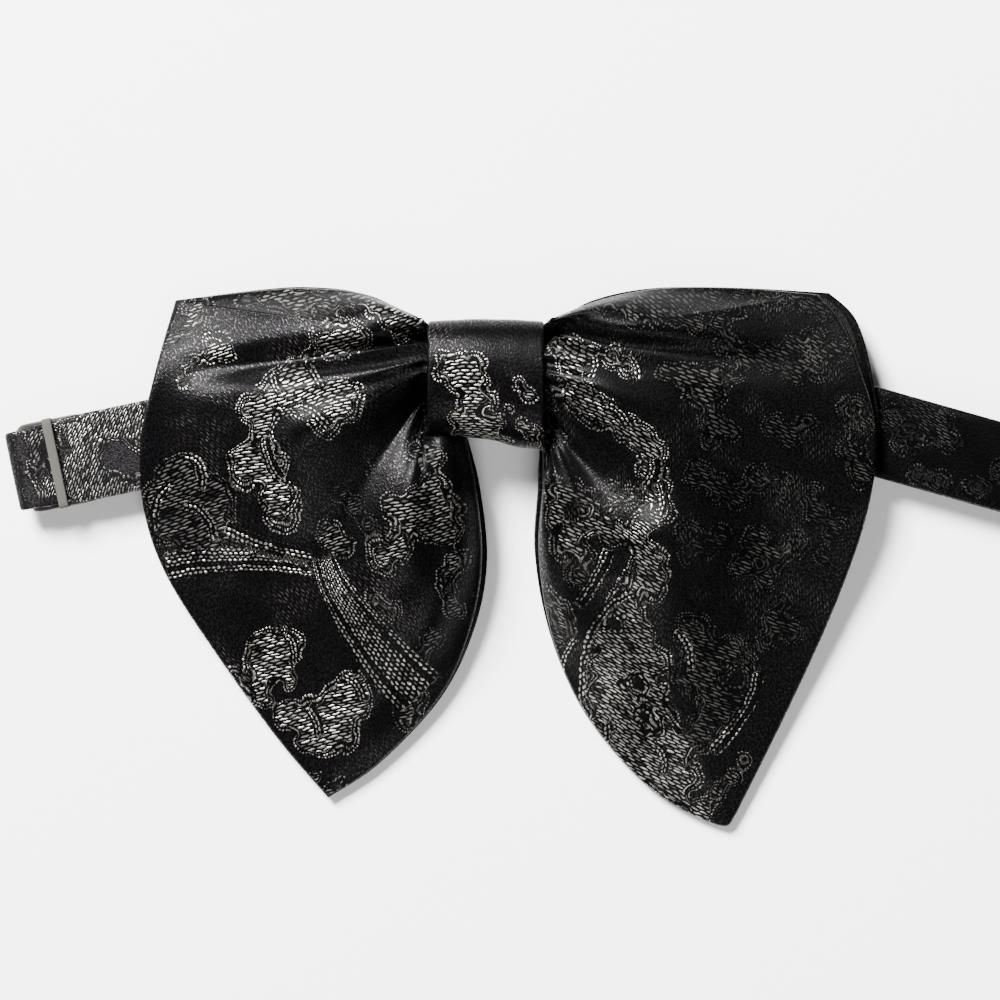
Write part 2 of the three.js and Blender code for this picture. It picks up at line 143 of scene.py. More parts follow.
# A mesh from a grid of points: a quad between each four neighbours. The last row or column joins the
# first where wrapped, and uv has one more there, so that the seam's quads keep their own values.
def gridPiece(name, grid, uv, fields=None, wrapRows=False, wrapColumns=False, flip=False, caps=False):
    rows, columns = grid.shape[:2]
    spanRows = rows if wrapRows else rows - 1
    spanColumns = columns if wrapColumns else columns - 1
    i, j = np.meshgrid(np.arange(spanRows), np.arange(spanColumns), indexing="ij")
    corners = [(i, j), (i + 1, j), (i + 1, j + 1), (i, j + 1)]
    if flip:
        corners.reverse()
    faces = np.stack([(a % rows) * columns + b % columns for a, b in corners], -1).reshape(-1, 4)
    cornerUv = np.stack([uv[a, b] for a, b in corners], -2).reshape(-1, 2)
    faceList = faces.tolist()
    if caps:
        firstRing = list(range(columns))
        lastRing = [(rows - 1) * columns + n for n in range(columns)]
        rings = [firstRing, lastRing[::-1]] if not flip else [firstRing[::-1], lastRing]
        faceList += rings
        ends = [uv.reshape(-1, 2)[n % columns] for ring in rings for n in ring]
        cornerUv = np.concatenate([cornerUv, ends])
    mesh = bpy.data.meshes.new(name)
    mesh.from_pydata((grid.reshape(-1, 3) * mm).tolist(), [], faceList)
    layer = mesh.uv_layers.new(name="cloth")
    layer.data.foreach_set("uv", (cornerUv / 100).astype(np.float32).ravel())
    for key, values in (fields or {}).items():
        attribute = mesh.attributes.new(key, "FLOAT", "POINT")
        attribute.data.foreach_set("value", values.astype(np.float32).ravel())
    mesh.polygons.foreach_set("use_smooth", [True] * len(mesh.polygons))
    mesh.update()
    piece = bpy.data.objects.new(name, mesh)
    bpy.context.collection.objects.link(piece)
    return piece


# A wall of cloth grown from a surface towards its back.
def giveWall(piece, wall):
    modifier = piece.modifiers.new("wall", "SOLIDIFY")
    modifier.thickness = wall * mm
    modifier.offset = -1


# A smooth curve through a table's rows at k from 0 to 1: the Catmull-Rom cubic between its neighbours.
def throughRows(rows, k):
    values = np.array(rows, float)
    at = np.clip(k, 0, 1) * (len(values) - 1)
    i = np.minimum(len(values) - 2, np.floor(at).astype(int))
    f = (at - i)[:, None]
    a = values[np.maximum(i - 1, 0)]
    b = values[i]
    c = values[i + 1]
    d = values[np.minimum(i + 2, len(values) - 1)]
    bend = 2 * a - 5 * b + 4 * c - d
    twist = 3 * b - a - 3 * c + d
    return b + 0.5 * f * (c - a + f * (bend + f * twist))


# How far from a bowed line each point is, on which side, how far along it, and the line's length. The
# line is the quadratic curve from start to end bent towards via, taken as short straight pieces.
def nearBow(x, y, start, via, end, pieces=24):
    k = np.linspace(0, 1, pieces + 1)
    line = np.outer((1 - k) ** 2, start) + np.outer(2 * k * (1 - k), via) + np.outer(k ** 2, end)
    nearest = np.full(x.shape, np.inf)
    along = np.zeros(x.shape)
    side = np.zeros(x.shape)
    for n in range(pieces):
        ax, ay = line[n]
        dx, dy = line[n + 1] - line[n]
        f = np.clip(((x - ax) * dx + (y - ay) * dy) / (dx * dx + dy * dy), 0, 1)
        awayX = x - ax - f * dx
        awayY = y - ay - f * dy
        distance = np.hypot(awayX, awayY)
        closer = distance < nearest
        nearest = np.where(closer, distance, nearest)
        along = np.where(closer, (n + f) / pieces, along)
        side = np.where(closer, np.sign(dx * awayY - dy * awayX), side)
    length = np.hypot(*np.diff(line, axis=0).T).sum()
    return nearest, side, along, length


# The drawn pattern: a cloud is a union of round lobes, and a hole is a round island of plain satin in
# it. The edge is taken as close points: each circle's points that no other lobe covers, and each hole's
# points inside a lobe. cloud is the distance to the nearest edge point, above 0 inside. arc is how far
# round its circle that point lies, in mm, and the third field is the nearest lobe's share of floats
# shown: partly the weave's own pattern and partly painted shade, low in lobes where the cloth lies in
# shade.
def cloudFields(x, y, clouds, holes=()):
    lobes = np.array([lobe + (fill,) for fill, group in clouds for lobe in group])
    circles = np.vstack([lobes[:, :3]] + [np.array([hole]) for hole in holes])
    turn = np.linspace(0, 2 * math.pi, 73)[:-1]
    edgeX = (circles[:, 0:1] + circles[:, 2:3] * np.cos(turn)).ravel()
    edgeY = (circles[:, 1:2] + circles[:, 2:3] * np.sin(turn)).ravel()
    edgeArc = (circles[:, 2:3] * turn).ravel()
    covered = insideDepth(edgeX, edgeY, lobes) > 0.05
    ofHole = np.repeat(np.arange(len(circles)) >= len(lobes), len(turn))
    inHole = np.zeros(len(edgeX), bool)
    for holeX, holeY, radius in holes:
        inHole |= np.hypot(edgeX - holeX, edgeY - holeY) < radius - 0.05
    kept = (covered == ofHole) & ~inHole
    edgeX, edgeY, edgeArc = edgeX[kept], edgeY[kept], edgeArc[kept]
    flatX, flatY = x.ravel(), y.ravel()
    distance = np.empty(len(flatX))
    arc = np.empty(len(flatX))
    for start in range(0, len(flatX), 4000):
        part = slice(start, start + 4000)
        squared = (flatX[part, None] - edgeX) ** 2 + (flatY[part, None] - edgeY) ** 2
        nearest = squared.argmin(1)
        distance[part] = np.sqrt(squared[np.arange(len(nearest)), nearest])
        arc[part] = edgeArc[nearest]
    inside = insideDepth(flatX, flatY, lobes) > 0
    for holeX, holeY, radius in holes:
        inside &= np.hypot(flatX - holeX, flatY - holeY) > radius
    best = np.full(len(flatX), -1e9)
    fill = np.zeros(len(flatX))
    for lobeX, lobeY, radius, share in lobes:
        here = radius - np.hypot(flatX - lobeX, flatY - lobeY)
        fill = np.where(here > best, share, fill)
        best = np.maximum(best, here)
    found = {"cloud": np.where(inside, distance, -distance), "arc": arc, "fill": fill}
    return {name: values.reshape(x.shape) for name, values in found.items()}


# How deep points lie in the lobes: the largest of radius minus distance.
def insideDepth(x, y, lobes):
    depth = np.full(x.shape, -1e9)
    for lobe in lobes:
        depth = np.maximum(depth, lobe[2] - np.hypot(x - lobe[0], y - lobe[1]))
    return depth


# Ropes are bundles of bead rows along a bowed line: ropeRow counts the rows across it, ropeLength runs
# along it in mm, and ropeAmount is 1 inside the bundle.
def ropeFields(x, y, ropes):
    fields = {name: np.zeros(x.shape) for name in ("ropeRow", "ropeLength", "ropeAmount")}
    for start, via, end, halfWidth, rows in ropes:
        nearest, side, along, length = nearBow(x, y, start, via, end)
        half = lerp(*halfWidth, along)
        inside = (nearest < half + 0.6) & (along > 0.001) & (along < 0.999)
        row = (side * nearest / half * 0.5 + 0.5) * rows
        fields["ropeRow"] = np.where(inside, row, fields["ropeRow"])
        fields["ropeLength"] = np.where(inside, along * length, fields["ropeLength"])
        amount = np.clip((half - nearest) / 0.3 + 0.5, 0, 1) * inside
        fields["ropeAmount"] = np.maximum(fields["ropeAmount"], amount)
    return fields


print("wings")

neck = {
    "middleZ": 16.05, "middleY": 0.8, "reachY": 10.9, "halfY": 12.1, "halfZ": 5.7,
    "backZ": 9.0, "backRise": 1.6, "backHalfY": 14,  # the back panel's start, higher towards its ends
    "skinHeight": 0.7, "skinY": 0.8,  # shares of the half ellipse that the front panel's start takes
}

leftWing = {
    "side": -1, "neckX": 14.7, "cloth": 1.2, "gap": 0.5, "seed": 3,
    "edges": [  # rows of x, y, the hem's height and how far the front panel stays inside
        {"name": "upper", "columns": 9, "neckFrom": 14.8, "neckTo": 9.5, "puff": 2.5, "rows": [
            (-16, 15.2, 11, 1), (-29.2, 20.7, 9, 0.5), (-41.5, 22.2, 6.5, 1.2),
            (-53.5, 21.6, 4, 0.6), (-72, 19.3, 2.2, 0)]},
        {"name": "outer", "columns": 17, "neckFrom": 9.5, "neckTo": -8, "puff": 4.4, "rows": [
            (-72, 19.3, 2.2, 0), (-76.3, 2.5, 8.2, 0), (-79.5, -13.5, 8.9, 0),
            (-78.9, -29, 8.3, 0), (-74, -44.3, 4.6, 0), (-62.6, -62.6, 1.8, 0),
            (-48.2, -82.6, 0.6, 0), (-36.8, -95.9, 0, 0)]},
        {"name": "inner", "columns": 14, "neckFrom": -8, "neckTo": -12.6, "puff": 3.5, "rows": [
            (-36.8, -95.9, 0, 0), (-25, -88, 0.2, 0.3), (-10.9, -73, 1, 0.5),
            (-3.2, -57.5, 2.8, 1.6), (0, -41.5, 5.6, 2.4), (-1.6, -24, 8.4, 1.4),
            (-4.6, -12.2, 9, 0.2)]},
    ],
    "folds": [  # from, via, to, rise in mm at the start and end, half width there
        ((-13.5, 9.4), (-34, 5.4), (-68, 2.8), (-5.5, -2.3), (2.6, 3.6)),
        ((-13.5, 6.6), (-32, 1.6), (-52, -3), (1.2, 1), (2.6, 5)),
        ((-13.5, 4.6), (-29, -3), (-45, -14), (2.2, 1.8), (3.8, 6)),
        ((-44, -9), (-50, -24), (-42, -36), (1.8, 0.6), (8, 9)),
        ((-13.5, -6), (-25, -14), (-36, -36), (-5.5, -3.2), (5, 8)),
        ((-13.5, -13), (-17, -27), (-17, -44), (1.4, 1.6), (4, 6)),
        ((-13, -13.5), (-13, -28), (-11, -42), (-3, -0.8), (3.6, 5)),
        ((-58, -48), (-44, -55), (-33, -66), (-3.4, -2.2), (7, 8)),
        ((-66, -38), (-61, -50), (-54, -62), (1.2, 1.6), (5, 5)),
        ((-5, -40), (-11, -62), (-36, -88), (2.2, 3), (4.5, 6)),
    ],
    "clouds": [  # share of floats shown, lower for painted shade, and round lobes as x, y, radius
        (1, [(-43.4, -0.1, 5.9), (-48.1, -2.7, 5.2), (-53.4, -6.4, 4.3), (-45.5, -5.9, 4.2),
            (-38.6, -3.8, 4.8), (-33.3, -4.3, 5.9), (-36.5, -9, 4.2), (-50.2, -11.2, 4.3),
            (-51, -15.4, 4.2), (-54.5, -19.1, 5.6), (-48.7, -20.1, 4.3), (-48.1, -25.4, 4.5),
            (-46.5, -30.2, 4.8)]),
        (0.12, [(-70.3, -21.7, 6), (-75.1, -26.5, 4.8), (-64, -27.5, 7.2), (-69.8, -29.6, 5.2),
            (-74.5, -33.3, 4.8), (-62.4, -34.4, 6.2), (-67.7, -36, 4.2)]),
        (0.75, [(-34.9, 12.6, 3.2), (-31.2, 11, 4.2), (-28.6, 9.4, 3.1), (-33.3, 8.4, 3.8),
            (-37.6, 10, 3.1), (-35.5, 6.8, 2.5)]),
        (1, [(-62.1, 8.6, 3.4), (-60.3, 7.3, 3.2), (-63.4, 6.5, 2.6)]),
        (0.7, [(-67.1, 5.5, 2.3), (-68.5, 2.8, 2.2), (-69.8, -0.1, 2)]),
        (0.28, [(-67.1, 16.3, 4.5), (-69.2, 12.6, 3.4), (-65.6, 17.9, 3.4), (-72.9, 9.4, 2.5)]),
        (0.19, [(-50.2, 19.7, 3.5), (-45.5, 19.5, 4.2), (-40.5, 19.2, 4.2), (-34.9, 18.7, 3.5),
            (-30.4, 18.9, 3), (-43.9, 16.3, 2.3), (-55.5, 19.5, 2.7), (-27, 20.5, 2.7)]),
        (0.8, [(-25.4, 16.8, 3.1), (-21.7, 15, 3.9), (-18, 13.9, 3.5), (-15.4, 13.1, 2.5),
            (-19.6, 11.3, 2.5)]),
        (0.8, [(-44.7, 4.6, 2.3), (-41.5, 5.2, 2.3)]),
        (0.28, [(-20.1, -28.6, 4.3), (-15.7, -26.5, 4.2), (-11.7, -23.8, 3.9), (-9.6, -29.1, 4.5),
            (-14.9, -31.8, 4.8), (-9.6, -33.9, 4.5), (-18.6, -33.3, 3.9), (-12.2, -17.5, 3.4),
            (-16.4, -15.4, 3.1)]),
        (0.25, [(-35.5, -34.9, 3.9), (-32.3, -37.6, 3.1), (-23.8, -39.3, 4.4), (-20.7, -38.2, 4.2),
            (-22.5, -41.9, 2.6), (-33.3, -37.2, 3.4)]),
        (0.9, [(-50.2, -61.5, 5.7), (-46, -60.4, 4.5), (-53.4, -64.1, 3.2)]),
        (0.7, [(-47.1, -66.2, 3.4), (-50.8, -67.8, 3.5), (-45.5, -68.6, 2.5), (-55, -69.4, 3.4),
            (-58.2, -67.3, 2.1), (-51.8, -72.5, 3.1)]),
        (0.95, [(-31.2, -70.4, 4.7), (-29.6, -74.7, 3.9), (-34.9, -73.1, 4.5), (-39.1, -76.2, 4.9),
            (-33.9, -78.4, 4.9), (-37.6, -82.1, 4.9), (-32.3, -82.1, 3.5), (-41.8, -82.1, 3.5),
            (-45.5, -76.8, 4.3)]),
        (0.2, [(-25.4, -49.6, 3.2), (-21.6, -52.2, 3), (-27.2, -54, 2.6), (-12.4, -59, 3),
            (-15.4, -62.6, 2.8)]),
        (0.05, [(-33.4, -25.6, 2.8), (-30.2, -28.4, 3), (-27, -32.4, 2.6), (-25.2, -21.4, 2.6)]),
        (0.28, [(-6.9, -40.9, 3.5), (-8.5, -44, 3.1), (-9.1, -47.7, 3.1), (-7.5, -51.7, 3.1)]),
        (0.28, [(-18.6, -75.2, 3.9), (-16.4, -72.5, 3.4), (-18, -78.9, 2.5)]),
        (0.28, [(-35.2, -93.9, 3.1), (-39.7, -91, 1.8)]),
    ],
    "holes": [(-44.7, -11.4, 3.1), (-43.4, -14.3, 2.4)],
    "ropes": [  # from, via, to, half the bundle's width at the start and end, rows
        ((-74, -42.5), (-56, -39), (-39, -42.5), (3.4, 2.2), 7),
        ((-37.5, -40), (-33.5, -53), (-15.5, -72), (2.8, 6.8), 13),
        ((-60, -33), (-52, -38), (-40, -39.5), (1.6, 1.2), 3),
        ((-39.9, 3.2), (-38.4, 1.2), (-37.6, -1.4), (1.3, 1.3), 3),
        ((-48.9, 2), (-48.4, 0.2), (-47.1, -2), (1.2, 1.2), 3),
        ((-42.2, -5.6), (-38.6, -6.6), (-35.6, -10.6), (1.4, 1.4), 3),
        ((-50.4, -12.6), (-50.2, -18), (-46.8, -22.2), (1.5, 1.5), 4),
        ((-46.2, -30), (-43.4, -28), (-42.8, -24.6), (1.1, 1.1), 3),
        ((-69.2, -17), (-63.5, -17.4), (-65.6, -24.5), (1, 1), 2),
        ((-69.6, -28), (-63.4, -28.4), (-62.4, -36.4), (1, 1), 2),
        ((-72.6, -23), (-77.4, -27), (-76.2, -34), (1, 1), 2),
        ((-46.6, -57.6), (-43.2, -60), (-44.6, -64.8), (1.1, 1.1), 3),
        ((-41.4, -74.6), (-38.6, -77), (-38.8, -81.6), (1.2, 1.2), 3),
        ((-33.6, -67.4), (-28.8, -68.4), (-28.6, -73.6), (1.1, 1.1), 3),
    ],
}

rightWing = {
    "side": 1, "neckX": 14.4, "cloth": 1.2, "gap": 0.5, "seed": 5,
    "edges": [  # rows of x, y, the hem's height and how far the front panel stays inside
        {"name": "upper", "columns": 10, "neckFrom": 14.8, "neckTo": 9.5, "puff": 2.5, "rows": [
            (15.6, 15, 11, 0.6), (26.5, 19.3, 9.4, 0.4), (40.5, 21.9, 8, 0.4),
            (59, 22, 6.4, 0.4), (79, 20.9, 4.6, 2.6)]},
        {"name": "outer", "columns": 18, "neckFrom": 9.5, "neckTo": -9, "puff": 4.4, "rows": [
            (79, 20.9, 4.6, 2.6), (85.2, 14.5, 6, 3.6), (88.6, 1.8, 8.6, 2.4),
            (90, -11.5, 9, 0.6), (87.6, -29, 8.3, 0), (80.6, -50.5, 4.4, 0),
            (69.7, -75.2, 1.6, 0), (57.6, -99.8, 0.1, 0)]},
        {"name": "inner", "columns": 15, "neckFrom": -9, "neckTo": -15.6, "puff": 3.5, "rows": [
            (57.6, -99.8, 0.1, 0), (53.6, -102.3, 0, 0), (38, -94, 0.2, 0.2),
            (23.2, -77.2, 0.8, 0.3), (15.2, -59.5, 2.8, 0.4), (11.8, -40, 5.8, 0.4),
            (12.6, -24, 8.4, 0.4), (12.4, -15.4, 9, 0.2)]},
    ],
    "folds": [  # from, via, to, rise in mm at the start and end, half width there
        ((13.3, 11), (34, 6.4), (66, 5), (-5.4, -1.6), (2.7, 4.2)),
        ((13.3, 7.6), (34, 1), (41, -36), (2.4, 2.8), (4.6, 9)),
        ((41, -36), (41, -60), (52, -90), (2.8, 1.4), (9, 7.5)),
        ((13.3, -11), (25, -19), (35, -26), (-6, -2), (5.4, 6.5)),
        ((15, -14.5), (18, -24), (18, -40), (2.2, 1), (4, 6)),
        ((52, -4), (66, -20), (64, -48), (-1.2, -1.4), (8, 8)),
    ],
    "clouds": [  # share of floats shown, lower for painted shade, and round lobes as x, y, radius
        (1, [(15.7, 8.6, 2.7), (19.9, 7.3, 3.4), (24.1, 6.3, 3.5), (28.4, 5.1, 3.4), (31.8, 3.1, 3),
            (19.1, 2.6, 4.2), (20.5, -2.7, 4.5), (23.9, -6.4, 4.2), (27.3, -8, 3.8), (31, -10.1, 3.9),
            (34.7, -12.7, 4.2), (37.3, -16.4, 3.9)]),
        (0.8, [(37.3, -20.7, 4.2), (38.4, -24.9, 4.2), (39.5, -28.6, 3.9), (36.3, -31.8, 3.4),
            (33.4, -34.4, 3.4), (38.9, -40.6, 3.1), (39.2, -44, 3), (38.4, -47.5, 3.1),
            (35.8, -38, 3.2), (35.4, -41.5, 3.4), (34.4, -45, 3.8), (32.4, -48, 4)]),
        (0.158, [(15.2, -4.3, 2.7), (15.2, -12.7, 3.1)]),
        (0.32, [(16.2, -31.5, 3.6), (20.5, -33.4, 4.2), (25, -31.6, 4), (28.8, -34.6, 3.8),
            (17.2, -37.6, 3.8), (21.6, -39.4, 3.2)]),
        (0.22, [(15.7, -23.8, 3.1), (19.7, -25.4, 3.9), (23.9, -27, 3.4), (27.8, -26.5, 3.8),
            (31.5, -25.9, 3.4), (16.8, -28.1, 3.9)]),
        (0.143, [(41, 2, 3), (44.7, 1.2, 3.2), (49, 0.5, 4.8), (53.5, 1, 3.9), (56.6, 1.5, 2.3),
            (47.9, -2.7, 3.9), (51.6, -2.4, 3.8)]),
        (0.053, [(25.7, 17.6, 3.2), (30.5, 18.4, 3.4), (35.8, 18.9, 3.8), (41, 19.4, 3.8),
            (46.3, 19.7, 3.4), (51.6, 19.5, 3.1), (57.4, 19.2, 3.1), (63.2, 19.7, 3.4),
            (68.5, 19.2, 3.4), (73.8, 18.4, 3.4), (78, 16.8, 3.1)]),
        (0.098, [(33.7, 14.4, 3), (38.7, 15.2, 3), (43.7, 14.2, 2.7), (47.9, 13.1, 3.1),
            (53.2, 13.7, 3.1), (57.4, 16.3, 2.3)]),
        (0.075, [(54.8, 8.4, 3.4), (59.5, 6, 3.9), (64.8, 5.5, 3.9), (70.1, 7.3, 4.4), (75.4, 9.4, 4.4),
            (80.1, 7.8, 3.9), (70.6, 2.6, 3.5), (75.9, 3.6, 3.9)]),
        (0.06, [(83.8, -5.9, 3.9), (86.2, -10.1, 3.9), (83.8, -15.4, 3.9), (85.9, -20.7, 3.9)]),
        (0.06, [(47.9, -21.2, 3.8), (52.7, -24.4, 3.8), (57.4, -26.5, 3.4), (62.2, -22.3, 3.8),
            (67.4, -23.8, 3.8)]),
        (0.09, [(62, -36.5, 4.2), (66.5, -39.5, 3.8), (70.5, -37, 3.6), (58.5, -42, 3.8),
            (64, -45, 3.4)]),
        (0.06, [(76, -30, 3.8), (80, -34, 3.4), (74, -25.5, 3.2), (77.5, -40, 3)]),
        (0.075, [(66, -54, 3.6), (70, -57.5, 3.2), (64.5, -59, 3), (68.5, -50, 2.6)]),
        (0.075, [(46, -34.5, 3.6), (50, -37.5, 3.4), (45.8, -39.5, 3), (53.5, -34.6, 3)]),
        (0.068, [(51, -8.5, 3.4), (55.2, -11, 3.2), (50.6, -13.6, 3), (65.4, -9.5, 3), (69.4, -12, 3.2),
            (73.2, -9.2, 2.8)]),
        (0.112, [(21.2, -44, 3.9), (23.9, -46.9, 2.7)]),
        (0.26, [(14.4, -50.1, 3.1), (17.3, -52.7, 3.4), (17.5, -57.2, 3.4), (14.9, -59.3, 2.5)]),
        (1, [(30, -50.4, 3.8), (33.1, -53.5, 4.2), (34.7, -58.3, 4.2), (26.3, -58.8, 3.9),
            (31, -60.9, 5.5), (27.3, -65.7, 5.5), (33.7, -66.2, 5.5), (38.4, -63.6, 4.2),
            (25.7, -72, 5.5), (31, -73.1, 6.2), (37.3, -73.1, 5.5), (27.3, -78.4, 4.8),
            (33.7, -79.4, 6.2), (40, -79.4, 5.5), (31, -84.7, 5.5), (37.3, -85.2, 6.2),
            (43.2, -84.7, 5.2), (35.2, -89.4, 4.8), (41, -91, 5.5), (46.3, -91, 4.2),
            (43.7, -95.3, 3.9), (49, -98.9, 3.9)]),
        (0.3, [(53.4, -94.4, 2.8), (56.6, -91, 2.6), (59.6, -87, 2.4)]),
        (0.112, [(46.9, -57.2, 5.2), (50, -63, 5.7), (52.1, -69.4, 6.2), (53.2, -75.7, 5.7),
            (49.5, -81, 5.2), (56.4, -60.9, 4.2), (58.2, -72.5, 3.9), (60.1, -65.7, 3.9),
            (45.8, -67.8, 4.2)]),
    ],
    "holes": [(34.2, -69.2, 1.1), (35.6, -70.4, 0.9), (36, -76.8, 1.3), (37.6, -78.4, 1.1),
        (43.6, -73, 1.8), (57.1, -67.9, 1.7), (28.6, -55, 1.6)],
    "ropes": [  # from, via, to, half the bundle's width at the start and end, rows
        ((27.5, -38), (26, -44), (20.5, -51), (1.7, 1.7), 4),
        ((62.5, -66), (61, -76), (52, -85), (1.7, 1.7), 4),
        ((33.2, -48), (20.6, -52), (21.8, -74), (1.1, 1.1), 2),
        ((20.5, -59), (14.5, -66), (20, -77), (1.2, 1.2), 3),
        ((24.6, 6), (25.4, 3.4), (23.4, 0.6), (1.3, 1.3), 3),
        ((32.4, 6.2), (35.4, 4.6), (34.4, 0.6), (1.2, 1.2), 3),
        ((27, -5.4), (30.6, -6.4), (32.4, -10.6), (1.3, 1.3), 3),
        ((37.6, -17.6), (39, -20.4), (36, -24.4), (1.8, 1.8), 4),
        ((39, -23), (41, -26.4), (39.2, -30.4), (1.2, 1.2), 3),
        ((27.6, -78), (28.6, -82), (25.4, -85.6), (1.2, 1.2), 3),
        ((38.4, -83.4), (42.4, -85.4), (40.6, -90.6), (1.1, 1.1), 3),
        ((42.6, -57), (47.4, -59.4), (46.4, -66), (1, 1), 2),
    ],
}


# Height of the gathered neck's skin over its middle: half an ellipse across Y.
def neckHeight(y):
    return neck["halfZ"] * np.sqrt(np.maximum(0, 1 - (y / neck["halfY"]) ** 2))


# A wing's columns: where each leaves the neck, where it ends on the outline and its heights there.
def wingColumns(wing, fineness):
    parts = []
    for n, edge in enumerate(wing["edges"]):
        count = edge["columns"] * fineness
        k = np.arange(0 if n == 0 else 1, count + 1) / count
        share = lerp(1 - (1 - k) ** 4, k, 0.06) if edge["name"] == "inner" else k
        nextPuff = wing["edges"][min(n + 1, len(wing["edges"]) - 1)]["puff"]
        part = dict(zip(("x", "y", "hem", "inset"), throughRows(edge["rows"], k).T))
        part["neckY"] = lerp(edge["neckFrom"], edge["neckTo"], share)
        part["puff"] = lerp(edge["puff"], (edge["puff"] + nextPuff) / 2, ease(k))
        parts.append(part)
    return {name: np.concatenate([part[name] for part in parts]) for name in parts[0]}


# The folds' share of a wing's height: each one's rise times e to minus (distance / spread) squared.
def foldRise(wing, x, y):
    rise = np.zeros(x.shape)
    for start, via, end, height, halfWidth in wing["folds"]:
        nearest, side, along, length = nearBow(x, y, start, via, end, 16)
        spread = lerp(*halfWidth, along)
        rise += lerp(*height, along) * np.exp(-((nearest / spread) ** 2))
    return rise


# Small gathers that fan out of the neck: sine waves across it, each times e to minus distance / fade.
def gathers(wing, share, distance):
    waves = np.random.default_rng(wing["seed"])
    total = np.zeros(distance.shape)
    for count, size, fade in panel["gathers"]:
        turn = waves.uniform(0, 2 * math.pi)
        total += size * np.sin(2 * math.pi * count * share + turn) * np.exp(-distance / fade)
    return total


# Averages each row with its neighbours along it, by a bell over the angle between their rays, so that
# the outline's corners leave no ray across the cloth.
def smoothOverAngle(values, angle, spread):
    weight = np.exp(-0.5 * ((angle[:, None] - angle) / spread) ** 2) * np.abs(np.gradient(angle))
    return values @ (weight / weight.sum(1, keepdims=True)).T


panel = {  # what both wings' panels share
    "frontRoll": 1.1, "backRoll": 0.7,           # mm, how round the hem turns under
    "rollTurns": (22, 45, 67, 90),               # degrees of that turn at its four rows
    "neckSpread": 0.12, "reachSpread": 0.16, "bodySpread": 0.10,  # radians of smoothing over the angle
    "frontWall": 0.9, "backWall": 1.0,           # mm of cloth and lining
    "tucks": [(6.0, 1.0), (10.5, 0.8), (12.6, 0.4), (13.6, 0.15)],  # x in the knot, ellipse's share
    # waves across the neck, mm high, mm of fade
    "gathers": [(4, 0.35, 26), (7, 0.32, 17), (11, 0.22, 10), (17, 0.12, 6)],
    "fineFront": (7, 120), "fineBack": (4, 50),  # columns for each of the table's, rows outwards
    "rowPower": 1.15,                            # above 1, the rows lie closer by the neck
    "domePower": 0.75, "bodyPower": 0.9,         # below 1, the swell and the ease come earlier
    "settlePower": 5,                            # how late the relief settles to the hem
    "slopeStretch": 0.35, "levelZ": 8,           # the cloth's shift sideways for each mm above that
}


